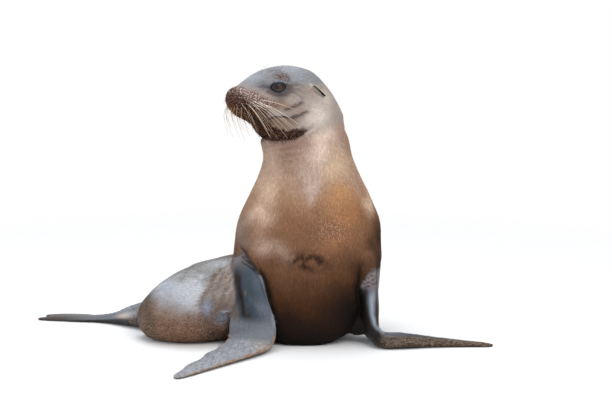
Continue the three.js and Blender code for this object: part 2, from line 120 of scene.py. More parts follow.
# x y z, chord x y, face x y z, lead trail over under
FORE_RIGHT = limb_table([
    (-100, 4, 226, 0.35, -0.94, -0.94, -0.35, 0, 52, 58, 38, 30),
    (-132, -44, 186, 0.52, -0.85, -0.85, -0.52, 0, 38, 56, 24, 40),
    (-140, -76, 138, 0.72, -0.69, -0.69, -0.72, 0, 48, 52, 18, 44),
    (-133, -94, 92, 0.93, -0.36, -0.36, -0.93, 0, 50, 47, 16, 30),
    (-126, -101, 54, 1, -0.05, -0.05, -1, 0.1, 53, 50, 14, 18),
    (-127, -110, 26, 0.98, -0.2, -0.15, -0.8, 0.6, 55, 52, 13, 14),
    (-136, -132, 12, 0.93, -0.38, -0.1, -0.3, 0.95, 55, 54, 13, 14),
    (-158, -172, 9, 0.87, -0.5, 0, 0, 1, 48, 52, 11, 11),
    (-191, -228, 7, 0.85, -0.53, 0, 0, 1, 35, 41, 9, 9),
    (-229, -290, 5.5, 0.85, -0.53, 0, 0, 1, 23, 29, 7, 7),
    (-257, -336, 4, 0.85, -0.53, 0, 0, 1, 14, 17, 5, 5),
    (-268, -354, 3.2, 0.85, -0.53, 0, 0, 1, 6, 7, 3, 3.5),
])
FORE_LEFT = limb_table([
    (96, 12, 226, -0.2, -0.98, 0.98, -0.2, 0, 54, 58, 38, 30),
    (132, -28, 182, -0.15, -0.99, 0.99, -0.15, 0, 60, 54, 22, 40),
    (137, -50, 132, -0.08, -1, 1, -0.08, 0, 56, 50, 16, 40),
    (130, -60, 88, 0.22, -0.98, 0.98, 0.22, 0, 54, 47, 15, 26),
    (130, -66, 52, 0.27, -0.96, 0.96, 0.27, 0.1, 53, 48, 13, 17),
    (139, -68, 26, 0.12, -0.99, 0.75, 0.09, 0.66, 55, 50, 13, 20),
    (164, -70, 12, 0, -1, 0.2, 0, 0.98, 58, 52, 14, 18),
    (204, -72, 10, 0.02, -1, 0, 0, 1, 52, 48, 13, 12),
    (258, -76, 7.5, 0.06, -1, 0, 0, 1, 36, 38, 10, 9.5),
    (318, -83, 5.5, 0.1, -1, 0, 0, 1, 23, 27, 7, 7),
    (374, -92, 4, 0.14, -1, 0, 0, 1, 12, 15, 5, 5),
    (396, -95, 3.2, 0.14, -1, 0, 0, 1, 5, 6, 3, 3.5),
])
HIND_RIGHT = limb_table([
    (-298, 14, 46, -0.6, -0.8, 0, 0, 1, 34, 34, 30, 40),
    (-346, 56, 34, -0.6, -0.8, 0, 0, 1, 34, 32, 32, 34),
    (-402, 102, 20, -0.52, -0.85, 0, 0, 1, 33, 31, 25, 21),
    (-468, 138, 9.5, -0.36, -0.93, 0, 0, 1, 27, 26, 9, 11),
    (-556, 156, 5.5, -0.16, -0.99, 0, 0, 1, 22, 22, 5, 6.5),
])
HIND_LEFT = limb_table([
    (-276, 44, 46, -0.98, 0.2, 0, 0, 1, 34, 34, 30, 40),
    (-294, 100, 33, -0.97, -0.25, 0, 0, 1, 32, 32, 24, 33),
    (-310, 152, 18, -0.97, -0.25, 0, 0, 1, 34, 34, 14, 19),
    (-324, 206, 9.5, -0.98, -0.2, 0, 0, 1, 38, 38, 8.5, 11),
    (-334, 262, 5.5, -0.99, -0.12, 0, 0, 1, 42, 42, 5, 6.5),
])
TOES = [(124, 11), (84, 9), (78, 9), (84, 9), (112, 10.5)]
TOE_ROOT = 0.35
ARMPIT = dict(at=(104, -50, 46), size=(30, 26, 32))
TOE_SPREAD = dict(right=math.radians(5), left=math.radians(26))
CLAW = dict(length=14, radius=2.4, tip=0.9, share=0.52, rise=9, toes=(1, 2, 3))
TAIL = dict(start=(-330, 36, 66), end=(-392, 92, 44), root=17, tip=6)

SIDES = (("left", 1), ("right", -1))
COAT_DEPTH = 1.8  # the skin lies this far inside the furred solids
LIMB_DEPTH = 0.4  # and this far inside the limbs
UP = np.array([0.0, 0.0, 1.0])


def unit(v):
    v = np.asarray(v, float)
    return v / np.maximum(np.linalg.norm(v, axis=-1, keepdims=True), 1e-9)


def dots(a, b):
    return np.einsum("...k,...k->...", a, b)


def ramp(x, a, b):
    """0 before a, 1 after b, smooth between."""
    t = np.clip((x - a) / (b - a), 0, 1)
    return t * t * (3 - 2 * t)


def fall(x, a, b):
    """1 before a, 0 after b, smooth between."""
    return 1 - ramp(x, a, b)


def band(x, middle, width):
    """1 at the middle, falling off over the width to both sides."""
    return np.exp(-((x - middle) / width) ** 2)


def spin(v, angle):
    """Directions turned about the upright axis."""
    v = np.asarray(v, float)
    c, s = math.cos(angle), math.sin(angle)
    return np.stack([c * v[..., 0] - s * v[..., 1], s * v[..., 0] + c * v[..., 1], v[..., 2]], -1)


def turned(v):
    """A direction in the head's frame, in the modelling frame."""
    return spin(v, HEAD_TURN)


def head_to_model(p):
    return turned(p) + HEAD_AT


def model_to_head(p):
    return spin(np.asarray(p, float) - HEAD_AT, -HEAD_TURN)


def both_sides(h):
    """Points in the head's frame, with both sides folded onto the left one."""
    return np.stack([h[:, 0], np.abs(h[:, 1]), h[:, 2]], 1)


# The left eye, which the CAD places too, ties the modelling frame to the row frame.
low, high = (np.array(corner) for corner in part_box("eye_left"))
OFFSET = (low + high) / 2 - head_to_model(EYE) / 1000


def place(p):
    """Millimetres in the modelling frame to metres in the row frame."""
    return np.asarray(p, float) / 1000 + OFFSET


# ---- lofts ----


def curve(table, u):
    """Catmull-Rom through the rows of a table, u counted in rows."""
    table = np.asarray(table, float)
    last = len(table) - 1
    u = np.asarray(u, float)
    i = np.clip(np.floor(u).astype(int), 0, last - 1)
    t = (u - i)[..., None]
    a, b, c, d = (table[np.clip(i + k, 0, last)] for k in (-1, 0, 1, 2))
    return b + 0.5 * t * (c - a + t * (2 * a - 5 * b + 4 * c - d + t * (3 * (b - c) + d - a)))


def places(table, steps):
    """Evenly spaced places along a table, counted in rows."""
    return np.linspace(0, len(table) - 1, steps)


def columns(table, steps):
    """A table's columns, drawn out to that many steps, to go with the points of a ring."""
    return curve(table, places(table, steps)).T[:, :, None]


def net(rings, sides, loops=False):
    """Quads over a tube's rings, and from the last ring to the first where it loops."""
    i, j = np.meshgrid(np.arange(rings if loops else rings - 1), np.arange(sides), indexing="ij")
    k, m = (i + 1) % rings, (j + 1) % sides
    return np.stack([i * sides + j, i * sides + m, k * sides + m, k * sides + j], -1).reshape(-1, 4)


def closed(rings):
    """(verts, quads, triangles) of rings (R, S, 3) with a fan over each end."""
    r, s = rings.shape[:2]
    verts = np.concatenate([rings.reshape(-1, 3), rings[:1].mean(1), rings[-1:].mean(1)])
    e = np.arange(s)
    f = (e + 1) % s
    end = (r - 1) * s
    fans = [np.stack([f, e, 0 * e + r * s], 1), np.stack([end + e, end + f, 0 * e + r * s + 1], 1)]
    return verts, net(r, s), np.concatenate(fans)


def angles(n):
    """The cosines and sines of n even steps round a circle."""
    a = np.linspace(0, 2 * np.pi, n, endpoint=False)
    return np.cos(a), np.sin(a)


def fuller(value, power):
    """Squares off a circle's coordinate where the power is under 1."""
    return np.sign(value) * np.abs(value) ** power


def torso():
    z, x, y, wide, front, back, power = columns(TORSO, 330)
    across, above = angles(96)
    deep = np.where(above > 0, front, back)
    rings = np.stack([x + fuller(across, power) * wide, y - fuller(above, power) * deep, z + 0 * across], -1)
    return closed(rings)


def hind_body():
    x, y, z, wide, up, down = columns(HIND, 80)
    ahead = np.minimum(places(HIND, 80) + NUDGE, len(HIND) - 1)
    run = unit((curve(HIND, ahead) - curve(HIND, ahead - NUDGE))[:, :2])
    across, above = angles(80)
    power = np.where(above > 0, 1, HIND_SETTLE)
    out = fuller(across, power) * wide
    rise = fuller(above, power) * np.where(above > 0, up, down)
    return closed(np.stack([x - run[:, 1:2] * out, y + run[:, :1] * out, z + rise], -1))


def skull():
    x, mid, wide, up, down = columns(HEAD, 130)
    across, above = angles(144)
    rise = above * np.where(above > 0, up, down)
    return closed(head_to_model(np.stack([x + 0 * across, across * wide, mid + rise], -1)))


def flat_limb(stations, steps, digits, first):
    """A flipper. Its finger bones stand up by the share digits, from the share first of its length on."""
    u = places(stations, steps)
    v = curve(stations, u)[:, None, :]
    chord, face = unit(v[..., 3:6]), unit(v[..., 6:9])
    across, above = (a[None, :, None] for a in angles(88))
    reach = np.where(across > 0, v[..., 9:10], v[..., 10:11])
    thick = np.where(above > 0, v[..., 11:12], v[..., 12:13])
    thin = np.where(across > 0, 1, 1 + 0.6 * across)
    share = (u / (len(stations) - 1))[:, None, None]
    bones = digits * ramp(share, first, first + 0.15) * fall(share, 0.9, 1)
    ridge = 1 + bones * np.cos(2 * np.pi * (across * 2.25 - 0.25)) * (above > 0)
    scallop = 1 + 0.3 * bones * np.sin(2 * np.pi * share * 9) * (across < -0.4)
    return closed(v[..., :3] + chord * across * reach * scallop + face * above * thick * thin * ridge)


def toe_lines(stations, spread):
    """Start, heading, reach and half width of each toe."""
    last, lead = stations[-1, :3], stations[-1, 9]
    heading = unit((last - stations[-2, :3]) * (1, 1, 0))
    chord = unit(stations[-1, 3:6])
    lines = []
    for i, (reach, broad) in enumerate(TOES):
        share = i / (len(TOES) - 1) - 0.5
        start = last - 2 * share * (lead - broad) * chord - heading * reach * TOE_ROOT
        lines.append((start, spin(heading, -share * spread), reach, broad))
    return lines


def toe(start, heading, reach, broad):
    side = np.array([-heading[1], heading[0], 0])
    rows = [(0, 0.7, 6, 5), (0.45, 1, 5.4, 4.6), (0.85, 0.9, 4, 3.2), (1, 0.45, 2.8, 2)]
    along, wide, thick, z = columns(rows, 24)
    across, above = angles(28)
    base = start * (1, 1, 0) + heading * (along * reach)[..., None]
    width = side * (across * wide * broad)[..., None]
    return closed(base + width + UP * (z + above * thick)[..., None])


POLE = 0.02  # the first ring of a ball, in radians from its pole


def ball(at, size):
    """An ellipsoid."""
    t = np.linspace(POLE, math.pi - POLE, 30)[:, None]
    cos, sin = angles(40)
    rings = np.stack([np.sin(t) * cos, np.sin(t) * sin, np.cos(t) + 0 * cos], -1)
    return closed(np.array(at, float) + rings * size)


def taper(start, end, root, tip, sides=40):
    """A round taper between two points, with a rounded tip."""
    start, end = np.array(start, float), np.array(end, float)
    axis = unit(end - start)
    length = np.linalg.norm(end - start)
    t = np.linspace(0, 1, 30)[:, None]
    over_tip = np.clip((t * length - length + tip) / tip, 0, 1)
    radius = (root + (tip - root) * t) * np.sqrt(np.clip(1 - over_tip ** 2, 1e-3, 1))
    a = unit(np.cross(axis, UP))
    b = np.cross(axis, a)
    cos, sin = angles(sides)
    spine = start + axis * (t * length)[..., None]
    return closed(spine + a * (radius * cos)[..., None] + b * (radius * sin)[..., None])


# ---- one skin ----
# Each loft becomes a distance field, and the fields are joined with fillets. The space is stretched first, so
# that the same grid is finer on the head, and finer in height near the floor, where the flippers are thin.

VOXEL = 4.4
HEAD_FINE = 3.0
FLOOR_FINE = 2.4
BAND = 18.0  # in voxels, so that wide fillets have room
MIDDLE = np.array([-40.0, 10.0])  # the upright axis that the stretch grows from
Z_STEP = 0.5
z_real = np.arange(-60, 680, Z_STEP)
z_wide = 1 + (HEAD_FINE - 1) * ramp(z_real, 320, 465)
z_tall = z_wide + (FLOOR_FINE - 1) * fall(z_real, 40, 85)
z_grid = np.concatenate([[0], np.cumsum((z_tall[1:] + z_tall[:-1]) / 2 * Z_STEP)])
z_grid -= np.interp(0, z_real, z_grid)


def fineness(z):
    """How much finer than the voxels the grid is at a height."""
    return np.interp(z, z_real, z_wide)


def stretch(p):
    """Points in the space that is stretched where the grid has to be finer."""
    w = fineness(p[:, 2:3])
    return np.concatenate([(p[:, :2] - MIDDLE) * w, np.interp(p[:, 2:3], z_real, z_grid)], 1)


def unstretch(p):
    z = np.interp(p[:, 2:3], z_grid, z_real)
    return np.concatenate([p[:, :2] / fineness(z) + MIDDLE, z], 1)


def together(shapes):
    """Several (verts, quads, triangles) as one."""
    verts, quads, tris = [], [], []
    count = 0
    for v, q, t in shapes:
        verts.append(v)
        quads.append(q + count)
        tris.append(t + count)
        count += len(v)
    return np.concatenate(verts), np.concatenate(quads), np.concatenate(tris)


def sample(array, p):
    """The field's value at stretched points, straight between grid points."""
    g = np.clip(p / VOXEL - LOW, 0, np.array(array.shape) - 1.001)
    i = g.astype(int)
    f = g - i
    corners = np.ndindex(2, 2, 2)
    return sum(np.where(corner, f, 1 - f).prod(1) * array[tuple((i + corner).T)] for corner in corners)


def outward(verts, quads, *more):
    """The faces of a closed shape, all turned over if they face inwards."""
    v = verts - verts.mean(0)
    a, b, c, d = (v[quads[:, k]] for k in range(4))
    inwards = (dots(a, np.cross(b, c)) + dots(a, np.cross(c, d))).sum() < 0
    return [faces[:, ::-1] if inwards else faces for faces in (quads, *more)]


def split(points, quads, chosen):
    """Splits the chosen quads in four and fans the neighbours that share a split edge."""
    following = np.roll(quads, -1, 1)
    key = np.minimum(quads, following) * len(points) + np.maximum(quads, following)
    cut = np.unique(key[chosen])
    middles = (points[cut // len(points)] + points[cut % len(points)]) / 2
    middle = len(points) + np.minimum(np.searchsorted(cut, key), len(cut) - 1)
    has_middle = cut[middle - len(points)] == key
    touched = ~chosen & has_middle.any(1)
    centred = chosen | touched
    centre = np.full(len(quads), -1)
    centre[centred] = len(points) + len(cut) + np.arange(centred.sum())
    new_points = np.concatenate([points, middles, points[quads[centred]].mean(1)])
    small = [np.stack([quads[chosen, k], middle[chosen, k], centre[chosen], middle[chosen, k - 1]], 1)
             for k in range(4)]
    fans = []
    for k in range(4):
        whole = touched & ~has_middle[:, k]
        halves = touched & has_middle[:, k]
        fans.append(np.stack([quads[whole, k], following[whole, k], centre[whole]], 1))
        fans.append(np.stack([quads[halves, k], middle[halves, k], centre[halves]], 1))
        fans.append(np.stack([middle[halves, k], following[halves, k], centre[halves]], 1))
    return new_points, np.concatenate([quads[~centred]] + small), np.concatenate(fans)


shapes = dict(torso=torso(), hind=hind_body(), head=skull(), armpit=ball(**ARMPIT), tail=taper(**TAIL))
toe_sets = {}
for side, fore, hind in (("right", FORE_RIGHT, HIND_RIGHT), ("left", FORE_LEFT, HIND_LEFT)):
    shapes[f"arm_{side}"] = flat_limb(fore, 150, 0.26, 0.5)
    shapes[f"foot_{side}"] = flat_limb(hind, 90, 0.24, 0.3)
    toe_sets[side] = toe_lines(hind, TOE_SPREAD[side])
    for number, line in enumerate(toe_sets[side]):
        shapes[f"toe_{side}_{number}"] = toe(*line)
shapes = {name: (stretch(verts), quads, tris) for name, (verts, quads, tris) in shapes.items()}

MARGIN = 4  # voxels round the shapes
everything = np.concatenate([verts for verts, _, _ in shapes.values()]) / VOXEL
LOW = np.floor(everything.min(0)).astype(int) - MARGIN
LOW[2] = -MARGIN - 2  # room for the skin's end at the floor
SHAPE = tuple(int(v) for v in np.ceil(everything.max(0)).astype(int) + MARGIN + 1 - LOW)
CORNER = tuple(int(v) for v in LOW)
grid_transform = openvdb.createLinearTransform(voxelSize=VOXEL)


def field(name):
    """The distance to a shape at each grid point, below zero inside it."""
    verts, quads, tris = shapes[name]
    grid = openvdb.FloatGrid.createLevelSetFromPolygons(
        verts.astype(np.float32), triangles=tris.astype(np.uint32), quads=quads.astype(np.uint32),
        transform=grid_transform, halfWidth=BAND)
    out = np.full(SHAPE, BAND * VOXEL, np.float32)
    grid.copyToArray(out, ijk=CORNER)
    return out


def join(a, b, k):
    """The union of two fields, with a fillet about k across."""
    h = np.clip(0.5 + 0.5 * (b - a) / k, 0, 1)
    return (b * (1 - h) + a * h - k * h * (1 - h)).astype(np.float32)


def steps_along(axis):
    """The grid's places along one axis of the stretched space."""
    shape = [1, 1, 1]
    shape[axis] = SHAPE[axis]
    return ((np.arange(SHAPE[axis]) + LOW[axis]) * VOXEL).reshape(shape).astype(np.float32)


height_at = np.interp(steps_along(2), z_grid, z_real).astype(np.float32)
scale_at = fineness(height_at).astype(np.float32)
x_at = steps_along(0) / scale_at + np.float32(MIDDLE[0])
y_at = steps_along(1) / scale_at + np.float32(MIDDLE[1])

fields = {name: field(name) for name in ("torso", "hind", "head", "tail")}
trunk = join(fields["torso"], fields["hind"], 16)
trunk = join(trunk, fields["tail"], 12)
nape_fillet = (9 + 9 * ramp(x_at, -40, 50)).astype(np.float32) * scale_at
# where the stretch grows with height it leans the walls out, and a lean wall needs less depth
lean = np.interp(steps_along(2), z_grid, np.gradient(z_wide, z_real) / z_tall)
lean = np.hypot(x_at - np.float32(MIDDLE[0]), y_at - np.float32(MIDDLE[1])) * lean.astype(np.float32)
body = join(trunk, fields["head"], nape_fillet) + COAT_DEPTH * scale_at / np.sqrt(1 + lean ** 2)
shoulder_fillet = (4 + 24 * ramp(height_at, 110, 190) * ramp(y_at, -60, 20)).astype(np.float32)
for name in ("arm_right", "arm_left", "foot_right", "foot_left"):
    limb = field(name)
    if name.startswith("foot"):
        for number in range(len(TOES)):
            limb = join(limb, field(f"toe_{name[5:]}_{number}"), 12)
    if name == "arm_left":
        limb = join(limb, field("armpit"), 14)
    fields[name] = limb
    fillet = 14 if name.startswith("foot") else shoulder_fillet
    body = join(body, limb + LIMB_DEPTH, fillet)

FLOOR_SKIN = 0.6  # the skin ends this far above the floor, so that the coat ends on it
above_floor = (FLOOR_SKIN - height_at) * FLOOR_FINE
body = -join(-body, np.broadcast_to(-above_floor, SHAPE).astype(np.float32), 3)

grid = openvdb.FloatGrid(float(BAND * VOXEL))
grid.copyFromArray(np.clip(body, -BAND * VOXEL, BAND * VOXEL), ijk=CORNER, tolerance=0)
grid.transform = grid_transform
raw, quads = grid.convertToQuads(0.0)
P = unstretch(np.asarray(raw, float))
[quads] = outward(P, np.asarray(quads, int))

# ---- where the face needs a finer net ----
# (x, z) on the side of the head, from the lips' front to the corner of the mouth
MOUTH = [(150, -50), (122, -46), (108, -36), (93, -28), (71, -28), (60, -31), (42, -29), (26, -21)]


def from_line(points, line):
    """The distance of points from a polyline."""
    best = np.full(len(points), 1e9)
    line = np.asarray(line, float)
    for a, b in zip(line[:-1], line[1:]):
        ab = b - a
        t = np.clip(((points - a) @ ab) / (ab @ ab), 0, 1)
        best = np.minimum(best, np.linalg.norm(points - a - t[:, None] * ab, axis=1))
    return best


middles = both_sides(model_to_head(P[quads].mean(1)))
near_eye = np.linalg.norm(middles - (83, 55, 35), axis=1) < 31
near_nose = (middles[:, 0] > 154) & (np.abs(middles[:, 2] - 10) < 24) & (middles[:, 1] < 30)
near_mouth = (from_line(middles[:, [0, 2]], MOUTH) < 5) & (middles[:, 0] < 150)
chosen = near_eye | near_nose | near_mouth
P, quads, fans = split(P, quads, chosen)
TRI = np.concatenate([quads[:, [0, 1, 2]], quads[:, [0, 2, 3]], fans])


def normals_of(v):
    """The skin's normals with its points at v."""
    a, b, c = (v[TRI[:, k]] for k in range(3))
    face = np.cross(b - a, c - a)
    out = np.zeros_like(v)
    for k in range(3):
        for axis in range(3):
            out[:, axis] += np.bincount(TRI[:, k], face[:, axis], len(v))
    return unit(out)


stretched = stretch(P)
near = {name: sample(array, stretched) for name, array in fields.items()}
del fields, trunk, body, limb, above_floor, nape_fillet, shoulder_fillet, lean

# ---- regions ----
LIMB_SOFT = 9  # half the width over which the trunk goes over into a limb
X, Y, Z = P.T
N = normals_of(P)
H = model_to_head(P)
HX, HY, HZ = H.T
BOTH = both_sides(H)
SIDE = BOTH[:, [0, 2]]
off_middle = BOTH[:, 1]
ON_HEAD = ramp(HZ + 0.25 * HX, -75, -40)
trunk_near = np.minimum(near["torso"], near["hind"])
gap_r, gap_l = trunk_near - near["arm_right"], trunk_near - near["arm_left"]
ARM_R = ramp(gap_r, -LIMB_SOFT, LIMB_SOFT) * fall(X, -40, 0)
ARM_L = ramp(gap_l, -LIMB_SOFT, LIMB_SOFT) * ramp(X, 40, 80)
gap_foot_r, gap_foot_l = trunk_near - near["foot_right"], trunk_near - near["foot_left"]
FOOT_R, FOOT_L = ramp(gap_foot_r, -LIMB_SOFT, LIMB_SOFT), ramp(gap_foot_l, -LIMB_SOFT, LIMB_SOFT)
ON_HIND = ramp(near["torso"] - near["hind"], -10, 24) * (1 - ARM_R) * fall(X, -120, -60)
ON_HIND = ON_HIND * (1 - ramp(Y, 0, 80) * ramp(X, -300, -120))


def limb_space(stations):
    """Each point's place along a limb, in stations, and across it from -1, trailing, to 1, leading."""
    u = places(stations, 90)
    rows = curve(stations, u)
    best = np.full(len(P), 1e18)
    index = np.zeros(len(P), int)
    for i, row in enumerate(rows):
        distance = ((P - row[:3]) ** 2).sum(1)
        index[distance < best] = i
        best = np.minimum(best, distance)
    row = rows[index]
    reach = dots(P - row[:, :3], unit(row[:, 3:6]))
    return u[index], reach / np.where(reach > 0, row[:, 9], row[:, 10])


def blob(p, at, size):
    """A soft round spot: 1 at its middle, and nothing past about twice its size."""
    q = (p - np.array(at, float)) / np.array(size, float)
    return np.exp(-(q ** 2).sum(-1) * 1.4)


def head_groove(line, width):
    """1 on a line of (x, z) drawn on both sides of the head, falling off across the width."""
    return band(from_line(SIDE, line), 0, width) * ON_HEAD


def ripple(points, size, seed):
    """A smooth wander between about -1 and 1, over about size millimetres."""
    draw = np.random.default_rng(seed)
    total = 0
    for _ in range(6):
        way = unit(draw.normal(size=3)) * 2 * np.pi / size * draw.uniform(0.6, 1.7)
        total = total + np.sin(points @ way + draw.uniform(0, 2 * np.pi))
    return total / 2.6


# ---- relief of the face and body ----
# Lines of (x, z) on both sides of the head.
CHEEK_FOLD = [(70, -13), (57, -9), (46, -4), (36, 2)]
CORNER_FOLD = [(52, -27), (40, -25), (26, -18)]
BROW_LINE = [(68, 63), (63, 56), (60, 47), (61, 39), (66, 32)]
BROW_TOP = [(90, 66), (82, 69), (73, 68)]
LID_CRESCENT = [(104, 25), (95, 20), (84, 16.5), (70, 18), (58, 27), (53, 36)]
JAW_EDGE = [(117, -64), (103, -75), (83, -78), (63, -75), (45, -69), (27, -58), (10, -48)]
WRINKLES = [[(52, 34), (42, 30), (32, 22)], [(54, 25), (46, 19), (36, 12)], [(50, 43), (42, 42), (30, 36)]]
MUZZLE_TOP = [(60, -4), (88, 7), (111, 16), (125, 25), (142, 32), (159, 38), (190, 40)]
CHIN_TOP = [(10, -46), (34, -51), (57, -57), (74, -56), (97, -46), (117, -34), (135, -30)]
# Lines of (x, z) on the body's front: creases and folds where the arms leave the breast.
SHOULDER_CREASE = [(-148, 206), (-138, 198), (-128, 187), (-118, 174), (-110, 160)]
SHOULDER_FOLDS = [
    [(-146, 190), (-131, 180), (-118, 174)],
    [(-147, 181), (-133, 175), (-118, 166)],
    [(-140, 193), (-128, 181), (-115, 168)],
]
ARM_FOLDS = [
    [(114, 146), (122, 151), (135, 158)],
    [(115, 139), (126, 143), (141, 151)],
    [(118, 132), (130, 136), (144, 142)],
    [(127, 162), (135, 166), (144, 168)],
]
FACES_FRONT = ramp(-N[:, 1], -0.05, 0.3)


def front_groove(line, width):
    """1 on a line of (x, z) drawn on the body's front."""
    return band(from_line(P[:, [0, 2]], line), 0, width) * FACES_FRONT


def height_on(line):
    """The height of a line of (x, z) at each point's place along the head."""
    at = np.array(sorted(line))
    return np.interp(HX, at[:, 0], at[:, 1])


def moved(line, dx, dz):
    """The same line, a little further along and up."""
    return [(x + dx, z + dz) for x, z in line]


push = np.zeros(len(P))


def raise_by(height, amount):
    """Raises the skin by a height in millimetres, by the amount at each point."""
    global push
    push = push + height * amount


for height, points, at, size in (
        (3.4, BOTH, (140, 36, -12), (28, 22, 19)),  # whisker pads
        (2.8, BOTH, (75, 54, 56), (15, 22, 10)),    # brow
        (1.4, BOTH, (76, 56, 6), (24, 20, 8)),      # below the eye
        (2.4, BOTH, (44, 64, -36), (26, 20, 14)),   # jowl
        (1.8, BOTH, (30, 66, -8), (20, 20, 12)),    # cheek
        (-2.6, BOTH, (114, 44, 34), (18, 16, 13)),  # before the eye
        (-1.2, H, (152, 0, 42), (10, 14, 10))):     # the step behind the nose
    raise_by(height, blob(points, at, size) * ON_HEAD)
lips = head_groove(MOUTH, 2.0) * ramp(off_middle, 3, 12) * ramp(HX, 24, 66)
raise_by(-2.6, lips)
raise_by(1.8, head_groove(moved(MOUTH[:6], 0, 7), 5) * ramp(HX, 60, 100))
for height, line, width in (
        (-2.4, CHEEK_FOLD, 3.6), (1.3, moved(CHEEK_FOLD, 2, 8), 5), (-1.6, CORNER_FOLD, 3.2),
        (-1.3, BROW_LINE, 2.4), (-0.6, BROW_TOP, 1.6), (-1.2, LID_CRESCENT, 2.2)):
    raise_by(height, head_groove(line, width))
raise_by(-3.0, head_groove(moved(JAW_EDGE, -2, -4), 4.5) * ramp(off_middle, 0, 14))
raise_by(1.2, head_groove(moved(JAW_EDGE, 0, 5), 5) * ramp(off_middle, 0, 14))
for line in WRINKLES:
    raise_by(-0.6, head_groove(line, 2.6))
# the philtrum, and the nostrils on the front of the nose
front_of_nose = ramp(HX, 166, 173)
raise_by(-1.6, band(HY, 0, 1.6) * ramp(HX, 150, 165) * ramp(-HZ, -4, 2) * ON_HEAD)
NOSTRIL = [(4, 5), (8, 8), (11, 14), (10, 19)]
nostril = band(from_line(BOTH[:, 1:], NOSTRIL), 0, 1.7) * front_of_nose * ON_HEAD
raise_by(-3.4, nostril)
pad_edge = np.sqrt((HY / 16) ** 2 + ((HZ - 13) / 13) ** 2) + 0.08 * ripple(P, 9, 58)
raise_by(0.7, fall(pad_edge, 0.7, 1.15) * front_of_nose * ON_HEAD)
# stubble stands out over the muzzle, and the wet brow is rough
below_top = ramp(height_on(MUZZLE_TOP) - HZ + 3 * ripple(P, 18, 52), -3, 7)
MUZZLE = ON_HEAD * below_top * ramp(HX + 0.5 * HZ, 74, 106)
BROW = ON_HEAD * blob(BOTH, (75, 54, 57), (20, 24, 11))
raise_by(0.45 * ripple(P, 5, 53) + 0.35 * ripple(P, 3.2, 54), np.maximum(MUZZLE, BROW))
# soft rings on the throat
for z0, depth in ((452, 0.6), (438, 0.6), (421, 0.45), (402, 0.3)):
    line_z = z0 + 0.28 * (X + 60) + 3 * ripple(P, 120, z0)
    raise_by(-depth, band(Z, line_z, 4) * ramp(-Y, 30, 80) * fall(X, -50, 20))
# shoulders, armpits and flank
raise_by(-4.0, front_groove(SHOULDER_CREASE, 4.5))
raise_by(2.2, front_groove(moved(SHOULDER_CREASE, 9, 8), 8))
for line in SHOULDER_FOLDS:
    raise_by(-1.8, front_groove(line, 2.6))
for line in ARM_FOLDS:
    raise_by(-1.9, front_groove(line, 2.6) * ARM_L)
between_r_zone = ramp(-Y, 20, 60) * fall(Z, 160, 180) * ramp(X, -124, -112)
between_r = band(gap_r, 0, 5) * ramp(-Y, 20, 60) * ramp(Z, 20, 50) * fall(Z, 170, 200) * ramp(X, -130, -110)
between_l = band(gap_l, 0, 5) * ramp(-Y, 0, 40) * ramp(Z, 20, 50) * fall(Z, 150, 185)
raise_by(-2.6, between_r + between_l)
ankle = band(trunk_near, np.minimum(near["foot_right"], near["foot_left"]), 6) * ramp(-X, 230, 280)
raise_by(-2.0, ankle)
for shift, depth in ((6, 1.4), (18, 1.2), (32, 1.0), (48, 0.7)):
    edge = X + 228 - 0.35 * (Z - 60) - shift - 3 * ripple(P, 70, shift)
    raise_by(-depth, band(edge, 0, 5) * ON_HIND * ramp(Z, 60, 100) * fall(Z, 150, 185))
raise_by(1.2 * ripple(P, 170, 5) + 0.5 * ripple(P, 80, 6), (1 - ON_HEAD) * ramp(Z, 12, 50))
# the inner corner between the left arm and its hand
raise_by(3.5, blob(P, (152, -70, 34), (12, 60, 12)) * ramp(N[:, 0], 0, 0.6))
P = P + N * push[:, None]

# ---- eyes: the lids wrap the ball, and the skin dips inside the opening ----
OPEN_WIDE = 12.4
# the upper and the lower lid's squareness, height, and shift towards the ear
LID_HALVES = np.array([[[2.4], [5.8], [0.0]], [[1.7], [7.4], [2.0]]])
LID_THICK = 1.6


def lid_shape(u, w):
    """1 on the lids' edge and less inside the opening: flat above, and deeper below towards the ear."""
    power, tall, shift = np.where(w > 0, *LID_HALVES)
    shift = shift * (1 - (u / OPEN_WIDE) ** 2).clip(0, 1)
    return (np.abs((u + shift) / OPEN_WIDE) ** power + np.abs(w / tall) ** power) ** (1 / power)


gaze = {}
LID = np.full(len(P), 9.0)
LID_U = np.full(len(P), 99.0)
UPPER = np.zeros(len(P))
for side, sign in SIDES:
    centre = head_to_model(EYE * (1, sign, 1))
    out = unit(turned((0.26, 0.95 * sign, 0.10)))
    fore = turned((0.97, -0.24 * sign, -0.05))
    fore = unit(fore - out * (fore @ out))
    rise = np.cross(fore, out) * sign
    gaze[side] = (centre, out, fore, rise)
    q = P - centre
    r = np.linalg.norm(q, axis=1)
    depth = q @ out
    ahead = (r < 46) & (depth > 2)
    u = EYE_R * np.arctan2(q @ fore, np.maximum(depth, 0.1))
    w = EYE_R * np.arctan2(q @ rise, np.maximum(depth, 0.1))
    e = np.where(ahead, lid_shape(u, w), 9)
    upper = ramp(w, -3, 4)
    held = fall(e, 1.45, 2.4) * ahead
    lid_r = EYE_R + LID_THICK + 0.9 * upper + 0.8 * band(e, 1.16, 0.15) - 1.3 * band(e, 1.62, 0.14) * upper
    target = np.where(e < 1, EYE_R - 2.6 * ramp(-e, -1, -0.93), lid_r)
    r2 = r + held * (target - r)
    clear = np.where((e >= 1) & ahead, EYE_R + 0.9, 0)
    r2 = np.maximum(r2, clear)
    P = np.where(ahead[:, None], centre + unit(q) * r2[:, None], P)
    LID = np.minimum(LID, e)
    UPPER = np.where(ahead, upper, UPPER)
    LID_U = np.where(ahead, u, LID_U)
N = normals_of(P)

# ---- objects ----


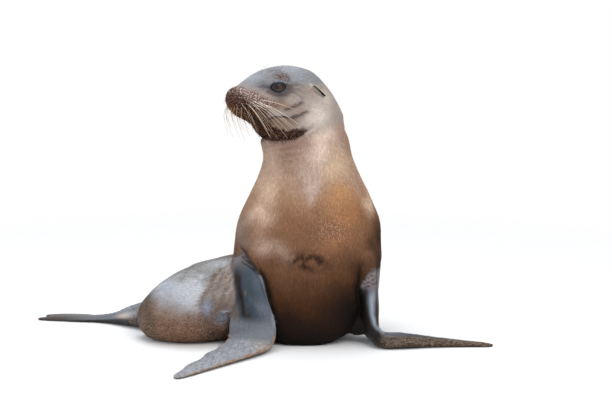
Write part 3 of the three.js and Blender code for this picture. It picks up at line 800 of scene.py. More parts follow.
def mesh_object(name, verts, faces, material, smooth=True):
    """A mesh from a list of arrays of faces, each with one number of corners."""
    mesh = bpy.data.meshes.new(name)
    loops = np.concatenate([f.reshape(-1) for f in faces]).astype(np.int32)
    sizes = np.concatenate([np.full(len(f), f.shape[1]) for f in faces]).astype(np.int32)
    mesh.vertices.add(len(verts))
    mesh.vertices.foreach_set("co", np.asarray(verts, np.float32).ravel())
    mesh.loops.add(len(loops))
    mesh.loops.foreach_set("vertex_index", loops)
    mesh.polygons.add(len(sizes))
    mesh.polygons.foreach_set("loop_start", np.concatenate([[0], np.cumsum(sizes)[:-1]]).astype(np.int32))
    mesh.polygons.foreach_set("use_smooth", np.full(len(sizes), smooth))
    mesh.update(calc_edges=True)
    mesh.validate()
    mesh.materials.append(material)
    obj = bpy.data.objects.new(name, mesh)
    bpy.context.scene.collection.objects.link(obj)
    return obj


def piece(name, shape, material, replaced=(), smooth=True):
    """A part of the animal, from (verts in millimetres, faces...)."""
    obj = mesh_object(name, place(shape[0]), list(shape[1:]), material, smooth)
    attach(obj, "root")
    if replaced:
        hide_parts(*replaced)
    return obj


def attributes(obj, **layers):
    """The values at an object's points that its finish reads."""
    for name, values in layers.items():
        values = np.asarray(values, np.float32)
        kind, channel = "FLOAT_VECTOR", "vector"
        if name == "tone":
            kind, channel = "FLOAT_COLOR", "color"
            values = np.concatenate([values, np.ones((len(values), 1), np.float32)], 1)
        obj.data.attributes.new(name, kind, "POINT").data.foreach_set(channel, values.ravel())


def linear(code):
    """A colour such as "8d7663" in linear light."""
    c = np.array([int(code[i:i + 2], 16) for i in (0, 2, 4)]) / 255
    return np.where(c <= 0.04045, c / 12.92, ((c + 0.055) / 1.055) ** 2.4)


# ---- markings ----
X, Y, Z = P.T
WP = P + np.stack([8 * ripple(P, 90, 21) + 1.5 * ripple(P, 30, 24), 7 * ripple(P, 90, 22),
                   8 * ripple(P, 95, 23) + 1.5 * ripple(P, 28, 25)], 1)
WX, WZ = WP[:, 0], WP[:, 2]


def gradient(heights, stops):
    """Colours at heights, between stops of (height, colour)."""
    at = [height for height, _ in stops]
    codes = np.array([linear(code) for _, code in stops])
    return np.stack([np.interp(heights, at, codes[:, k]) for k in range(3)], 1)


# The breast darkens towards the floor: its fur is darker low down, and the near-black lowest part is painted
# shade.
BREAST = [(0, "0c0603"), (31, "140904"), (65, "241206"), (108, "422611"), (150, "60402a"),
          (176, "6d4c36"), (205, "79543d"), (240, "825d43"), (276, "855f46"), (320, "9b775d"),
          (363, "aa8d7b"), (395, "a08471"), (434, "9d8072"), (475, "a58a7c"), (520, "aa9c94")]
BACK = [(0, "2a211b"), (60, "3e322a"), (150, "5c4f46"), (300, "776a60"), (450, "8f8278"), (520, "a09690")]
# FLANK's pale band at about 122 mm up is a painted sheen on the wet hip.
FLANK = [(0, "24170f"), (18, "3a281e"), (36, "5c4437"), (55, "775c4c"), (76, "85746c"), (90, "98969a"),
         (122, "afb1b6"), (138, "a0a1a4"), (152, "868584"), (170, "8f9194"), (185, "92979a")]

backness = ramp(N[:, 1], -0.1, 0.75)[:, None]
colour = gradient(WZ, BREAST) * (1 - backness) + gradient(WZ, BACK) * backness


def paint(code, amount):
    """Lays a colour over the skin, by the amount at each point."""
    global colour
    layer = linear(code) if isinstance(code, str) else code
    colour = colour + (layer - colour) * np.clip(amount, 0, 1)[:, None]


def spots(points, zone, *rows):
    """Soft spots within a zone, each a colour, a middle, a size and an amount."""
    for code, at, size, amount in rows:
        paint(code, blob(points, at, size) * zone * amount)


facing = 1 - backness[:, 0]
# the throat, pale on the animal's left, and the pale point it ends in on the breast, which is a painted wet
# sheen
spots(WP, 1, ("cfb6a4", (-92, -30, 404), (26, 80, 50), 0.75), ("dcc8ba", (22, -60, 446), (42, 90, 56), 1.1),
      ("cdb39a", (54, -60, 392), (38, 80, 40), 1.0))
spots(WP, facing, ("8f7266", (-48, -90, 450), (28, 60, 26), 0.7))
point_side = np.abs(WX - 6) - 0.36 * (Z - 302)
throat_point_sheen = fall(point_side, -14, 6 + 8 * (WX < 6)) * ramp(Z, 298, 322) * fall(Z, 360, 420)
paint("bfaba0", throat_point_sheen * facing * 0.85)
spots(
    WP, 1,
    # the animal's left side: ochre breast, a pale and then a dark edge, and lower down towards the left arm
    # dark fur darkened further as painted shade
    ("b88c62", (68, -80, 330), (38, 80, 40), 1.0), ("a5754f", (76, -90, 282), (44, 80, 34), 0.95),
    ("a0714f", (52, -100, 246), (40, 80, 26), 0.9), ("caae98", (128, -30, 306), (17, 90, 34), 1.15),
    ("311b0c", (158, -20, 226), (30, 110, 60), 1.05), ("3c2617", (112, -80, 168), (46, 90, 38), 0.75),
    ("1e1008", (70, -100, 92), (50, 90, 66), 0.9),
    # its right side: a cream band that is a painted highlight, a pale shoulder with a grey edge that is a
    # painted sheen, a pinkish patch over the arm, and a painted sheen low on the breast
    ("d3b8a1", (-92, -55, 338), (44, 80, 44), 0.95), ("d3b7a4", (-110, -65, 284), (34, 80, 32), 1.0),
    ("9b8b7f", (-152, -30, 262), (22, 80, 40), 0.95), ("bb9f90", (-102, -86, 224), (30, 80, 22), 1.1),
    ("a18a79", (-64, -107, 216), (26, 60, 26), 0.9), ("9a765b", (-52, -84, 326), (20, 60, 24), 0.6),
    ("7d6f67", (-154, -50, 226), (18, 60, 22), 0.8), ("4a3122", (2, -120, 187), (44, 60, 13), 0.55))
# dark blotches
smudge = ramp(ripple(P * (1, 1, 1.5), 30, 71) + 0.35 * ripple(P, 9, 72), -1.1, 0.9)
spots(P, smudge, ("27170d", (-4, -120, 195), (52, 60, 21), 1.5))
spots(WP, 1, ("654429", (62, -106, 160), (26, 60, 22), 0.5))
# shade before the left arm and under the breast
spots(P, 1, ("0d0704", (96, -80, 66), (40, 90, 66), 0.9), ("080402", (0, -110, 4), (130, 90, 20), 0.8))

# hind body
paint(gradient(WZ + 6 * ripple(P, 34, 31) + 0.10 * (X + 240), FLANK), ON_HIND)
# the two pale blue-grey spots are a painted sheen on the wet hip
spots(P, ON_HIND, ("b4b7bd", (-250, -90, 112), (40, 80, 30), 0.8),
      ("9fa6b0", (-312, -66, 126), (26, 80, 17), 0.8), ("85776f", (-300, -80, 90), (28, 80, 13), 0.7))
brown_from = np.interp(Z, [60, 93, 113, 145, 158, 172], [-232, -236, -233, -216, -198, -172])
brown_edge = X - brown_from + 3 * ripple(P, 60, 33)
brown = ramp(brown_edge, -4, 5) * ON_HIND * fall(Y, -10, 50)
paint("6b594f", brown * ramp(Z, 30, 60) * 0.92)
streaks = 0.9 * np.sin(brown_edge / 2.4 + 1.6 * ripple(P, 90, 32)) * ripple(P, 55, 34)
streaks = np.clip(0.5 + streaks, 0, 1)
paint("99908a", brown * streaks * ramp(Z, 84, 118) * 0.85)
paint("4c3d34", brown * (1 - streaks) * band(brown_edge, 12, 12) * 0.5)
# a bluish painted reflection on the wet fur, and a wet dimple by the right arm with a bluish painted
# reflection, a painted highlight and a painted shadow in its fold
spots(P, ON_HIND, ("8795ab", (-219, -95, 88), (11, 50, 20), 0.9))
spots(P, 1, ("62748b", (-188, -95, 64), (14, 50, 15), 0.9), ("b3bfcf", (-181, -95, 78), (9, 50, 3), 0.7),
      ("14100f", (-176, -90, 74), (7, 50, 4), 1.1))
# a painted sheen along the top of the hind body, then a dark spot at the rear and a pale one low on its side
spots(P, ON_HIND, ("b2b4b8", (-209, -10, 170), (40, 60, 16), 0.6),
      ("5a565a", (-350, -61, 104), (22, 60, 20), 0.6), ("a29c9e", (-242, -100, 86), (20, 60, 10), 0.6))
paint("8a6752", ON_HIND * fall(Z, 34, 62) * fall(X, -250, -200) * 0.55)
paint("5b4a40", ON_HIND * ramp(-X - 0.25 * (Z - 80), 330, 350) * 0.9)
paint("625a54", ON_HIND * ramp(N[:, 1], -0.2, 0.05) * ramp(N[:, 2], 0.3, 0.6) * 0.6)
paint("6b5d53", ON_HIND * ramp(Y, 10, 90) * 0.6)
colour = colour * (1 + 0.12 * ON_HIND)[:, None]

# fore flippers
ALONG_R, ACROSS_R = limb_space(FORE_RIGHT)
ALONG_L, ACROSS_L = limb_space(FORE_LEFT)
crease_height = np.interp(X, *np.transpose(SHOULDER_CREASE))
past_crease = ramp(Z - crease_height, -3, 3) * FACES_FRONT * ramp(X, -160, -150)
SKIN_R = ARM_R * ramp(gap_r, 0, 5) * fall(Z + 6 * ripple(P, 40, 41), 186, 216) * (1 - past_crease)
patch_edge = X - np.interp(Z, [100, 129, 150, 174], [100, 107, 117, 134])
SKIN_L = ARM_L * ramp(gap_l, 0, 5) * fall(Z + 2 * ripple(P, 30, 42), 167, 173)
SKIN_L = SKIN_L * (1 - fall(patch_edge, -3, 2) * FACES_FRONT * ramp(Z, 120, 130))
hand_r, hand_l = ramp(ALONG_R, 5.2, 6.4), ramp(ALONG_L, 5.2, 6.4)
on_hand_r, on_hand_l = SKIN_R * hand_r, SKIN_L * hand_l
upper_r, upper_l = SKIN_R * (1 - hand_r), SKIN_L * (1 - hand_l)
wave = 0.08 * ripple(P * (1, 1, 0.35), 34, 43)
paint("3c464f", SKIN_R)
paint("646b77", upper_r * ramp(ACROSS_R + wave, 0.15, 0.7) * fall(Z, 86, 126) * 0.95)
paint("505a66", upper_r * ramp(ACROSS_R + wave, 0.5, 0.9) * ramp(Z, 86, 126) * 0.8)
paint("241811", upper_r * band(ACROSS_R + wave, -0.18, 0.19) * ramp(Z, 50, 76) * fall(Z, 150, 190) * 0.95)
paint("5f544e", upper_r * ramp(-ACROSS_R - wave, 0.42, 0.6) * ramp(Z, 40, 70) * 0.9)
# a purple-grey patch by the shoulder crease, and a small pale mark that is a painted highlight
spots(P, SKIN_R, ("6f6567", (-148, -70, 190), (28, 60, 22), 1.0),
      ("a08f7c", (-139, -105, 120), (2, 20, 6), 0.35))
paint("737880", SKIN_R * fall(Z, 46, 74) * (1 - hand_r) * 0.9)
# a painted highlight along the arm's front edge
paint("a9b3c0", upper_r * band(gap_r, 7, 3.5) * ramp(N[:, 0], 0.1, 0.4) * fall(Z, 150, 170) * 0.75)
paint("929ba6", on_hand_r)
paint("a9aaad", on_hand_r * ramp(ripple(P * (1, 0.4, 1), 14, 47), 0.1, 1.2) * 0.6)
paint("666f7b", on_hand_r * ramp(-ripple(P * (1, 0.4, 1), 12, 48), 0.2, 1.3) * 0.75)
edge_r = ramp(ACROSS_R + 0.5 * wave, 0.88, 0.98)
paint("9b7b5e", SKIN_R * np.maximum(hand_r, fall(Z, 20, 46)) * edge_r * 0.9)
spots(P, on_hand_r, ("a59a8e", (-98, -146, 20), (24, 30, 16), 0.8))
# painted shade on the hand's faces that turn down
paint("2c211b", on_hand_r * ramp(-N[:, 2], -0.25, 0.3) * 0.8)
paint("d3a67c", SKIN_R * ramp(-ACROSS_R, 0.8, 0.95) * band(ALONG_R, 6.0, 0.7) * 0.9)

# painted shade in the armpit, between the left arm and the breast
armpit_shade = band(gap_l, -1, 9) * ramp(-N[:, 1], -0.3, 0.2) * fall(Z, 130, 160)
paint("0c0806", armpit_shade * fall(X, 124, 132) * ramp(X, 60, 80))
paint("26211f", SKIN_L)
# dark fur with painted shade on the arm's inner part, low by the body
paint("0f0b09", upper_l * fall(X, 110, 128) * fall(Z, 104, 128) * 0.95)
paint("595d66", upper_l * ramp(X + 4 * ripple(P * (1, 1, 0.3), 20, 49), 112, 128) * ramp(Z, 88, 126) * 0.9)
# a painted highlight: a wet band down the arm's front face
wet_highlight_x = np.interp(Z, [34, 46, 53, 74, 100, 131], [158, 146, 140, 133, 132, 135])
wet_highlight = band(X, wet_highlight_x, np.interp(Z, [40, 74, 131], [6.5, 5, 8.5])) * ramp(-N[:, 1], -0.1, 0.3)
paint("939da8", SKIN_L * wet_highlight * ramp(Z, 30, 40) * fall(Z, 106, 136))
paint("85787a", SKIN_L * ramp(Z, 124, 140) * 0.95)
paint("34261f", ARM_L * ramp(gap_l, -4, 2) * ramp(X, 139, 144) * ramp(Z, 42, 60) * fall(Z, 190, 215) * 0.95)
paint("503e33", on_hand_l)
paint("78614e", on_hand_l * ramp(ripple(P, 16, 45), -0.2, 1.0) * 0.85)
# a painted highlight along the hand's top edge, a darker blue-grey towards its tip
top_edge_highlight = ramp(0.62 - 0.09 * (ALONG_L - 5.4) - ACROSS_L, 0, 0.3)
paint("8d9aab", SKIN_L * ramp(ALONG_L, 4.8, 5.4) * top_edge_highlight * fall(ALONG_L, 6.6, 8.0))
paint("66717e", SKIN_L * ramp(ALONG_L, 6.4, 7.6) * top_edge_highlight * 0.9)
paint("6a5547", SKIN_L * ramp(X, 280, 350) * 0.6)
# painted shade on the hand's faces that turn down
paint("211a17", on_hand_l * ramp(-N[:, 2], -0.3, 0.2) * 0.8)
spots(P, SKIN_L, ("1f1b1a", (140, -95, 22), (12, 60, 20), 0.8))

# hind flippers: lighter on the faces that turn up, as painted light from above, and darker on the faces that
# turn down, as painted shade
FEET = np.maximum(FOOT_R * ramp(-X, 340, 366), FOOT_L * ramp(Y, 96, 124))
paint("5f6974", FEET)
spots(P, FEET * ramp(N[:, 2], 0.0, 0.6), ("88919a", (-390, 86, 36), (60, 60, 34), 0.95))
spots(P, FEET, ("bda794", (-424, 84, 24), (38, 24, 7), 1.0), ("c6bfbf", (-417, 73, 27), (22, 30, 12), 0.7))
paint("6b6b6c", FEET * ramp(-X, 440, 500) * 0.7)
paint("3f3731", FEET * ramp(-X, 500, 600) * 0.9)
paint("1c1715", FEET * fall(N[:, 2], -0.1, 0.35) * fall(-X, 520, 600) * 0.85)

# head
paint("a59a94", ON_HEAD * 0.95)
paint("8d9097", ON_HEAD * ramp(HZ + 6 * ripple(P, 30, 55), 26, 54) * 0.95)
spots(H, ON_HEAD, ("a9aeb6", (46, 30, 74), (34, 40, 14), 0.8), ("857d79", (-46, 20, 62), (34, 60, 24), 0.7),
      ("a3a8b0", (128, 0, 52), (26, 40, 16), 0.9))
# the dark grey-blue spot before the eye is painted shade in the hollow there
spots(BOTH, ON_HEAD, ("cbc0b6", (-20, 66, 12), (20, 40, 24), 0.9),
      ("dbcfc6", (0, 72, -28), (36, 50, 32), 1.05), ("a8958a", (44, 68, -16), (22, 30, 12), 0.8),
      ("a08068", (78, 58, -4), (24, 22, 8), 0.9), ("474a53", (112, 46, 38), (18, 24, 11), 0.9),
      ("847470", (42, 68, 34), (18, 24, 14), 0.4), ("8a736c", (84, 56, 6), (20, 24, 9), 0.6))
# the muzzle: speckled above, dark below, dark over the chin to the jaw's edge
paint("7c655f", MUZZLE * 0.97)
low_muzzle = ramp(0.62 * (HX - 96) - (HZ + 22) - 3 * ripple(P, 14, 56), -12, 12)
paint("260e05", MUZZLE * low_muzzle * ramp(HX, 84, 112) * 0.95)
paint("4a2c26", MUZZLE * ramp(HX, 156, 170) * 0.8)
spots(BOTH, ON_HEAD, ("160c07", (116, 42, -34), (20, 30, 8), 0.9))
under_mouth = ramp(height_on(MOUTH) - HZ, -2, 2)
of_jaw = under_mouth * ramp(HZ - height_on(JAW_EDGE), -9, -4) * ramp(HX, 8, 26) * ramp(ON_HEAD, 0, 0.4)
of_jaw = of_jaw * (1 - ramp(HX, 118, 124) * (1 - under_mouth))
paint("8c7466", of_jaw * ramp(HX, 30, 60) * 0.9)
paint("3c2315", of_jaw * ramp(HX, 84, 108) * 0.95)
chin_dark = of_jaw * ramp(height_on(CHIN_TOP) - HZ + 2.5 * ripple(P, 12, 51), -3, 4)
paint("2c1206", chin_dark * ramp(HX + 3 * ripple(P, 12, 57), 20, 34) * 0.96)
paint("120906", ON_HEAD * head_groove(JAW_EDGE, 3.0) * ramp(HX, 20, 40) * 0.85)
# painted shade in the folds of the cheek and the mouth's corner, in the crescent below the eye and in the
# wrinkles behind it
fold_shade_lines = [("4c3c38", [CHEEK_FOLD, CORNER_FOLD], 3.6, 0.8), ("574c4a", [LID_CRESCENT], 4.0, 0.75),
              ("5b5052", WRINKLES, 3.4, 0.4)]
for code, lines, width, amount in fold_shade_lines:
    for line in lines:
        paint(code, head_groove(line, width) * amount)
spots(BOTH, ON_HEAD, ("a07a58", (20, 70, 28), (8, 14, 8), 0.55))
paint("dbd1c8", head_groove([(14, 40), (6, 36), (-4, 30)], 2.0) * 0.6)
# painted shade in the line of the mouth
paint("120b08", lips * 0.95)
# round the eyes
paint("34333b", fall(LID, 1.5, 2.9) * fall(np.abs(LID_U), 17, 28) * 0.9)
paint("543832", BROW * 1.35)
# painted shade in the brow's creases
paint("332a2c", head_groove(BROW_LINE, 3.2) * 0.55)
paint("3a3436", head_groove(BROW_TOP, 1.6) * 0.4)
paint("0f1014", fall(LID - 0.75 * UPPER, 1.3, 1.5) * fall(np.abs(LID_U), 15, 19) * 0.97)
# a painted highlight along the wet upper lid
paint("8fa3bb", band(LID, 2.0, 0.14) * UPPER * band(LID_U, 1, 8) * 0.85)
# nose, with painted shade in the nostrils
NOSE = ON_HEAD * front_of_nose * fall(pad_edge, 0.85, 1.02)
paint("5a382f", NOSE * 0.9)
paint("0a0605", nostril * 1.3)
# painted shade in the creases and folds, between arms and breast, and at the ankles
crease_shade = np.maximum(front_groove(SHOULDER_CREASE, 4.0), band(gap_r, -4, 7) * between_r_zone)
for line in SHOULDER_FOLDS:
    crease_shade = np.maximum(crease_shade, front_groove(line, 2.0))
for line in ARM_FOLDS:
    crease_shade = np.maximum(crease_shade, front_groove(line, 1.9) * 0.9 * ARM_L)
paint("120d0b", crease_shade * 0.9)
paint("070504", band(gap_r, -3, 3) * between_r_zone * ramp(Z, 60, 90) * 0.9)
paint("0f0b09", np.maximum(between_l, 0.9 * ankle * fall(Z, 40, 70)) * 0.9)

BARE = np.clip(np.maximum(np.maximum(SKIN_R, SKIN_L) * (1 - 0.3 * ramp(Z, 120, 170)), FEET), 0, 1)
BARE = np.maximum(BARE, fall(LID, 1.5, 1.9))
# sand caught in the coat, dark flecks, and how wet and sleek it lies
SAND = np.maximum.reduce([
    ON_HIND * fall(Z + 10 * ripple(P, 50, 61), 40, 96) * 0.8, on_hand_l * (0.9 - 0.7 * top_edge_highlight),
    SKIN_R * edge_r * fall(Z, 24, 52),
    SKIN_R * fall(Z, 30, 52) * (0.2 + 0.35 * ramp(ripple(P, 20, 62), 0, 1))])
FLECKS = blob(P, (-36, -90, 398), (60, 80, 40)) * ramp(ripple(P, 26, 63), -0.2, 0.8)
FLECKS = FLECKS + 0.8 * ON_HIND * fall(Z + 8 * ripple(P, 40, 64), 50, 110)
DULL = np.clip(MUZZLE * low_muzzle + chin_dark, 0, 1)
SLEEK = 0.35 * (1 - DULL) + 0.65 * ON_HIND * ramp(Z, 60, 100) + BARE + 0.2 * ON_HEAD * ramp(HZ, 10, 40)
SLEEK = np.clip(SLEEK, 0, 1)
MARKS = np.stack([np.clip(SAND, 0, 1), np.clip(FLECKS, 0, 1), SLEEK], 1)
# speckle, as on the muzzle, whose pale part stands partly for pale stubble and partly for painted glints on
# wet hair, and streaks along the lie of the hair and the skin
SPECKLE = np.maximum.reduce([
    MUZZLE * (1 - 0.8 * low_muzzle), BROW * 1.4, 0.15 * of_jaw, 0.5 * on_hand_r,
    0.5 * blob(P, (50, -110, 262), (42, 80, 30)) * facing])
STREAKS = ON_HEAD * ramp(HZ, 8, 36) + 0.25 * facing * (1 - ON_HEAD) * (1 - BARE)
STREAKS = STREAKS + SKIN_R * (0.8 * hand_r + 0.7 * (1 - hand_r) * fall(Z, 90, 140))
STREAKS = STREAKS + 0.5 * SKIN_L * ramp(Z, 60, 90) + 0.3 * brown + 0.4 * FEET
TRAITS = np.stack([np.clip(SPECKLE, 0, 1), BARE, np.clip(STREAKS, 0, 1)], 1)

# how the coat lies: back from the nose, down the neck and breast, and along the hind body
flow = np.tile(-UP, (len(P), 1)) + ON_HIND[:, None] * np.array([-1.8, -0.2, 0.7])
for weight, limb in ((SKIN_R, FORE_RIGHT), (SKIN_L, FORE_LEFT)):
    reach = unit(limb[-2, :3] - limb[4, :3])
    flow = flow + (weight * fall(Z, 20, 60))[:, None] * (reach * 1.6 + UP * 0.8)
flow = flow * (1 - ON_HEAD[:, None]) + ON_HEAD[:, None] * turned((-1.0, 0, -0.25))
flow = unit(flow - N * dots(flow, N)[:, None])

# ---- materials ----


class Nodes:
    """A material's node tree, with short ways to add to it."""

    def __init__(self, name):
        self.material = bpy.data.materials.new(name)
        self.material.use_nodes = True
        self.tree = self.material.node_tree
        self.tree.nodes.clear()
        self.shader = self.add("ShaderNodeBsdfPrincipled")
        self.output = self.add("ShaderNodeOutputMaterial")
        self.link(self.shader.outputs[0], self.output.inputs[0])

    def add(self, kind, **settings):
        node = self.tree.nodes.new(kind)
        for key, value in settings.items():
            setattr(node, key, value)
        return node

    def link(self, a, b):
        self.tree.links.new(a, b)

    def set(self, socket, value):
        """Links a socket, or gives it a number or a colour."""
        if isinstance(value, (int, float)):
            socket.default_value = value
        elif isinstance(value, (tuple, list, np.ndarray)):
            socket.default_value = (*[float(v) for v in value][:3], 1)
        elif value is not None:
            self.link(value, socket)

    def surface(self, **values):
        for key, value in values.items():
            self.set(self.shader.inputs[key.replace("_", " ")], value)

    def read(self, name, kind="Fac"):
        return self.add("ShaderNodeAttribute", attribute_name=name).outputs[kind]

    def channels(self, name):
        node = self.add("ShaderNodeSeparateXYZ")
        self.link(self.read(name, "Vector"), node.inputs[0])
        return node.outputs

    def noise(self, scale, detail=3.0, rough=0.55, vector=None):
        node = self.add("ShaderNodeTexNoise")
        node.inputs["Scale"].default_value = scale
        node.inputs["Detail"].default_value = detail
        node.inputs["Roughness"].default_value = rough
        self.link(vector or self.add("ShaderNodeTexCoord").outputs["Object"], node.inputs["Vector"])
        return node.outputs["Fac"]

    def remap(self, value, a, b, c, d):
        node = self.add("ShaderNodeMapRange")
        self.link(value, node.inputs["Value"])
        for key, number in zip(("From Min", "From Max", "To Min", "To Max"), (a, b, c, d)):
            self.set(node.inputs[key], number)
        return node.outputs["Result"]

    def math(self, operation, a, b=None):
        node = self.add("ShaderNodeMath", operation=operation)
        self.set(node.inputs[0], a)
        self.set(node.inputs[1], b)
        return node.outputs[0]

    def mix(self, factor, a, b, blend="MIX"):
        node = self.add("ShaderNodeMix", data_type="RGBA", blend_type=blend)
        for socket, value in zip((node.inputs[0], node.inputs[6], node.inputs[7]), (factor, a, b)):
            self.set(socket, value)
        return node.outputs[2]

    def masked(self, value, a, b, most, mask):
        """The value's rise from a to b, up to most, where the mask is 1."""
        return self.math("MULTIPLY", self.remap(value, a, b, 0, most), mask)

    def bump(self, height, strength, distance):
        node = self.add("ShaderNodeBump")
        node.inputs["Strength"].default_value = strength
        node.inputs["Distance"].default_value = distance
        self.link(height, node.inputs["Height"])
        return node.outputs[0]


def pelt(name, bumpy):
    """The skin's and the coat's finish: painted tone, hair streaks, sand, flecks, speckle that is partly
    painted glints, and wet sheen.
    """
    n = Nodes(name)
    grain = n.read("grain", "Vector")
    sand, flecks, sleek = n.channels("marks")
    speckle, _, streaky = n.channels("traits")
    hairs = n.noise(900.0, 2.0, 0.6, grain)
    clumps = n.noise(170.0, 3.0, 0.6, grain)
    patches = n.noise(26.0, 4.0, 0.6)
    base = n.read("tone", "Color")
    rough = n.remap(sleek, 0.4, 1, 1, 0.3)
    for value, dark, light in ((hairs, (0.83, 0.81, 0.79), (1.15, 1.15, 1.15)),
                               (clumps, (0.88, 0.86, 0.84), (1.1, 1.1, 1.1)),
                               (patches, (0.93, 0.92, 0.90), (1.05, 1.05, 1.06))):
        base = n.mix(rough, base, n.mix(n.remap(value, 0.3, 0.7, 0, 1), dark, light), "MULTIPLY")
    strokes = n.noise(330.0, 2.0, 0.55, grain)
    base = n.mix(n.masked(strokes, 0.54, 0.66, 0.6, streaky), base, (0.40, 0.36, 0.34), "MULTIPLY")
    base = n.mix(n.masked(strokes, 0.46, 0.34, 0.5, streaky), base, (1.6, 1.58, 1.56), "MULTIPLY")
    # the pale part of the speckle is partly pale hair and partly painted glints on wet hair
    coarse = n.noise(400.0, 2.0, 0.5)
    pale = n.masked(coarse, 0.54, 0.63, 1.0, speckle)
    deep = n.masked(coarse, 0.46, 0.36, 0.85, speckle)
    base = n.mix(pale, base, n.mix(0.75, base, (0.95, 0.74, 0.66)))
    base = n.mix(deep, base, n.mix(0.75, base, linear("1c100c")))
    grains = n.noise(420.0, 2.0, 0.6)
    base = n.mix(n.masked(grains, 0.53, 0.62, 0.9, sand), base, linear("a68d76"))
    base = n.mix(n.masked(grains, 0.44, 0.36, 0.7, sand), base, linear("1d1410"))
    base = n.mix(n.masked(n.noise(240.0, 2.0, 0.5), 0.6, 0.68, 0.85, flecks), base, linear("33241c"))
    n.surface(Base_Color=base, Specular_IOR_Level=n.remap(sleek, 0, 0.35, 0.02, 0.12))
    wet = n.remap(sleek, 0, 1, 0.6, 0.3)
    n.surface(Roughness=n.math("ADD", wet, n.remap(patches, 0.3, 0.7, -0.05, 0.08)))
    if bumpy:
        strands = n.math("MULTIPLY", hairs, 0.4)
        height = n.math("ADD", strands, n.math("ADD", clumps, n.math("MULTIPLY", grains, 0.3)))
        height = n.math("ADD", height, n.math("MULTIPLY", coarse, n.math("MULTIPLY", speckle, 1.2)))
        n.surface(Normal=n.bump(height, 0.5, 0.0011))
    return n.material


SKIN_FINISH = pelt("sea_lion_skin", True)
COAT_FINISH = pelt("sea_lion_coat", False)

GRAIN_RUN = 0.82  # how far the grain is drawn out along the lie of the coat
metres = place(P)
grain = metres - flow * (dots(metres, flow) * GRAIN_RUN)[:, None]

LIMBS = [f"{part}_{side}" for pair in (("fore_arm", "fore_hand"), ("hind_shank", "hind_foot"))
         for side in ("right", "left") for part in pair]
FLESH = ["head", "jaw", "nose", "neck", "chest", "loin", "rump", "tail", *LIMBS]
skin = piece("skin", (P, quads, fans), SKIN_FINISH, FLESH)
attributes(skin, tone=colour, grain=grain, marks=MARKS, traits=TRAITS)

# ---- eyes ----
eye_nodes = Nodes("eye")
eye_nodes.surface(Base_Color=eye_nodes.read("tone", "Color"), Roughness=0.06, Specular_IOR_Level=0.35)
rim_nodes = Nodes("eye_rim")
rim_nodes.surface(Base_Color=linear("17181c"), Roughness=0.2,
                  Normal=rim_nodes.bump(rim_nodes.noise(900, 2), 0.3, 0.0004))
EYE_RINGS, EYE_SIDES = 70, 72


def eyeball(side, centre, out, fore, rise):
    """A ball with a raised cornea and a brown iris. It shrinks behind the lids."""
    look = unit(out + 0.16 * fore + 0.08 * rise)
    a = unit(fore - look * (fore @ look))
    b = np.cross(look, a)
    theta = np.linspace(POLE, np.pi - POLE, EYE_RINGS)[:, None]
    cos, sin = angles(EYE_SIDES)
    radius = EYE_R - 0.3 + 1.0 * np.exp(-(theta / 0.55) ** 4) - 1.6 * ramp(theta, 1.0, 1.35)
    ball = (centre + look * (radius * np.cos(theta) + 0 * cos)[..., None]
            + a * (radius * np.sin(theta) * cos)[..., None] + b * (radius * np.sin(theta) * sin)[..., None])
    verts, *faces = closed(ball)
    shape = (verts, *outward(verts, *faces))
    eye = piece(f"eyeball_{side}", shape, eye_nodes.material, [f"eye_{side}"])
    t = np.concatenate([np.repeat(theta[:, 0], EYE_SIDES), [0, np.pi]])[:, None]
    spoke = np.concatenate([np.tile(np.arange(EYE_SIDES), EYE_RINGS), [0, 0]])[:, None]
    fleck = 0.85 + 0.3 * np.sin(spoke * 1.7) * np.sin(spoke * 0.61 + 1)
    tones = linear("57281c") * fleck
    tones = tones + (linear("080505") - tones) * fall(t, 0.26, 0.36)
    tones = tones + (linear("120b0a") - tones) * ramp(t, 0.62, 0.78)
    attributes(eye, tone=tones)


def lid_margin(side, centre, out, fore, rise):
    """The wet dark edge of both lids, a tube round the opening."""
    cos, sin = angles(120)
    power, tall, shift = np.where(sin > 0, *LID_HALVES)
    u = OPEN_WIDE * fuller(cos, 2 / power)
    w = tall * fuller(sin, 2 / power)
    u = u - shift * (1 - (u / OPEN_WIDE) ** 2)
    direction = unit(out + fore * np.tan(u / EYE_R)[:, None] + rise * np.tan(w / EYE_R)[:, None])
    spine = centre + direction * (EYE_R + 0.7)
    tangent = unit(np.roll(spine, -1, 0) - np.roll(spine, 1, 0))
    other = np.cross(direction, tangent)
    beside, above = (v[None, :, None] for v in angles(10))
    thick = (1.25 + 0.35 * (sin > 0))[:, None, None]
    tube = spine[:, None] + thick * (direction[:, None] * 1.2 * above + other[:, None] * beside)
    verts = tube.reshape(-1, 3)
    faces = outward(verts, net(*tube.shape[:2], loops=True))
    piece(f"lid_margin_{side}", (verts, *faces), rim_nodes.material)


for side, axes in gaze.items():
    eyeball(side, *axes)
    lid_margin(side, *axes)

# ---- whiskers ----
whisker_nodes = Nodes("whisker")
whisker_tone = whisker_nodes.mix(whisker_nodes.remap(whisker_nodes.noise(60.0), 0.35, 0.65, 0, 1),
                                 (1, 1, 1), (0.78, 0.72, 0.64))
whisker_tone = whisker_nodes.mix(1.0, whisker_nodes.read("tone", "Color"), whisker_tone, "MULTIPLY")
whisker_nodes.surface(Base_Color=whisker_tone, Roughness=0.35)
WHISKER_ROWS = 4
WHISKER_COLUMNS = 7
BRISTLES = 220
HAIR_STEPS = 18
muzzle_index = np.where((ON_HEAD > 0.5) & (HX > 60))[0]
hairs, hair_tones = [], []


def on_muzzle(x, z, sign):
    """The skin's point and normal on one side of the muzzle at that length and height."""
    pick = muzzle_index[np.sign(H[muzzle_index, 1]) == sign]
    i = pick[np.argmin((H[pick, 0] - x) ** 2 + (H[pick, 2] - z) ** 2)]
    return P[i], N[i]


def blend(code, other, share):
    """A colour between two others."""
    return linear(code) * (1 - share) + linear(other) * share


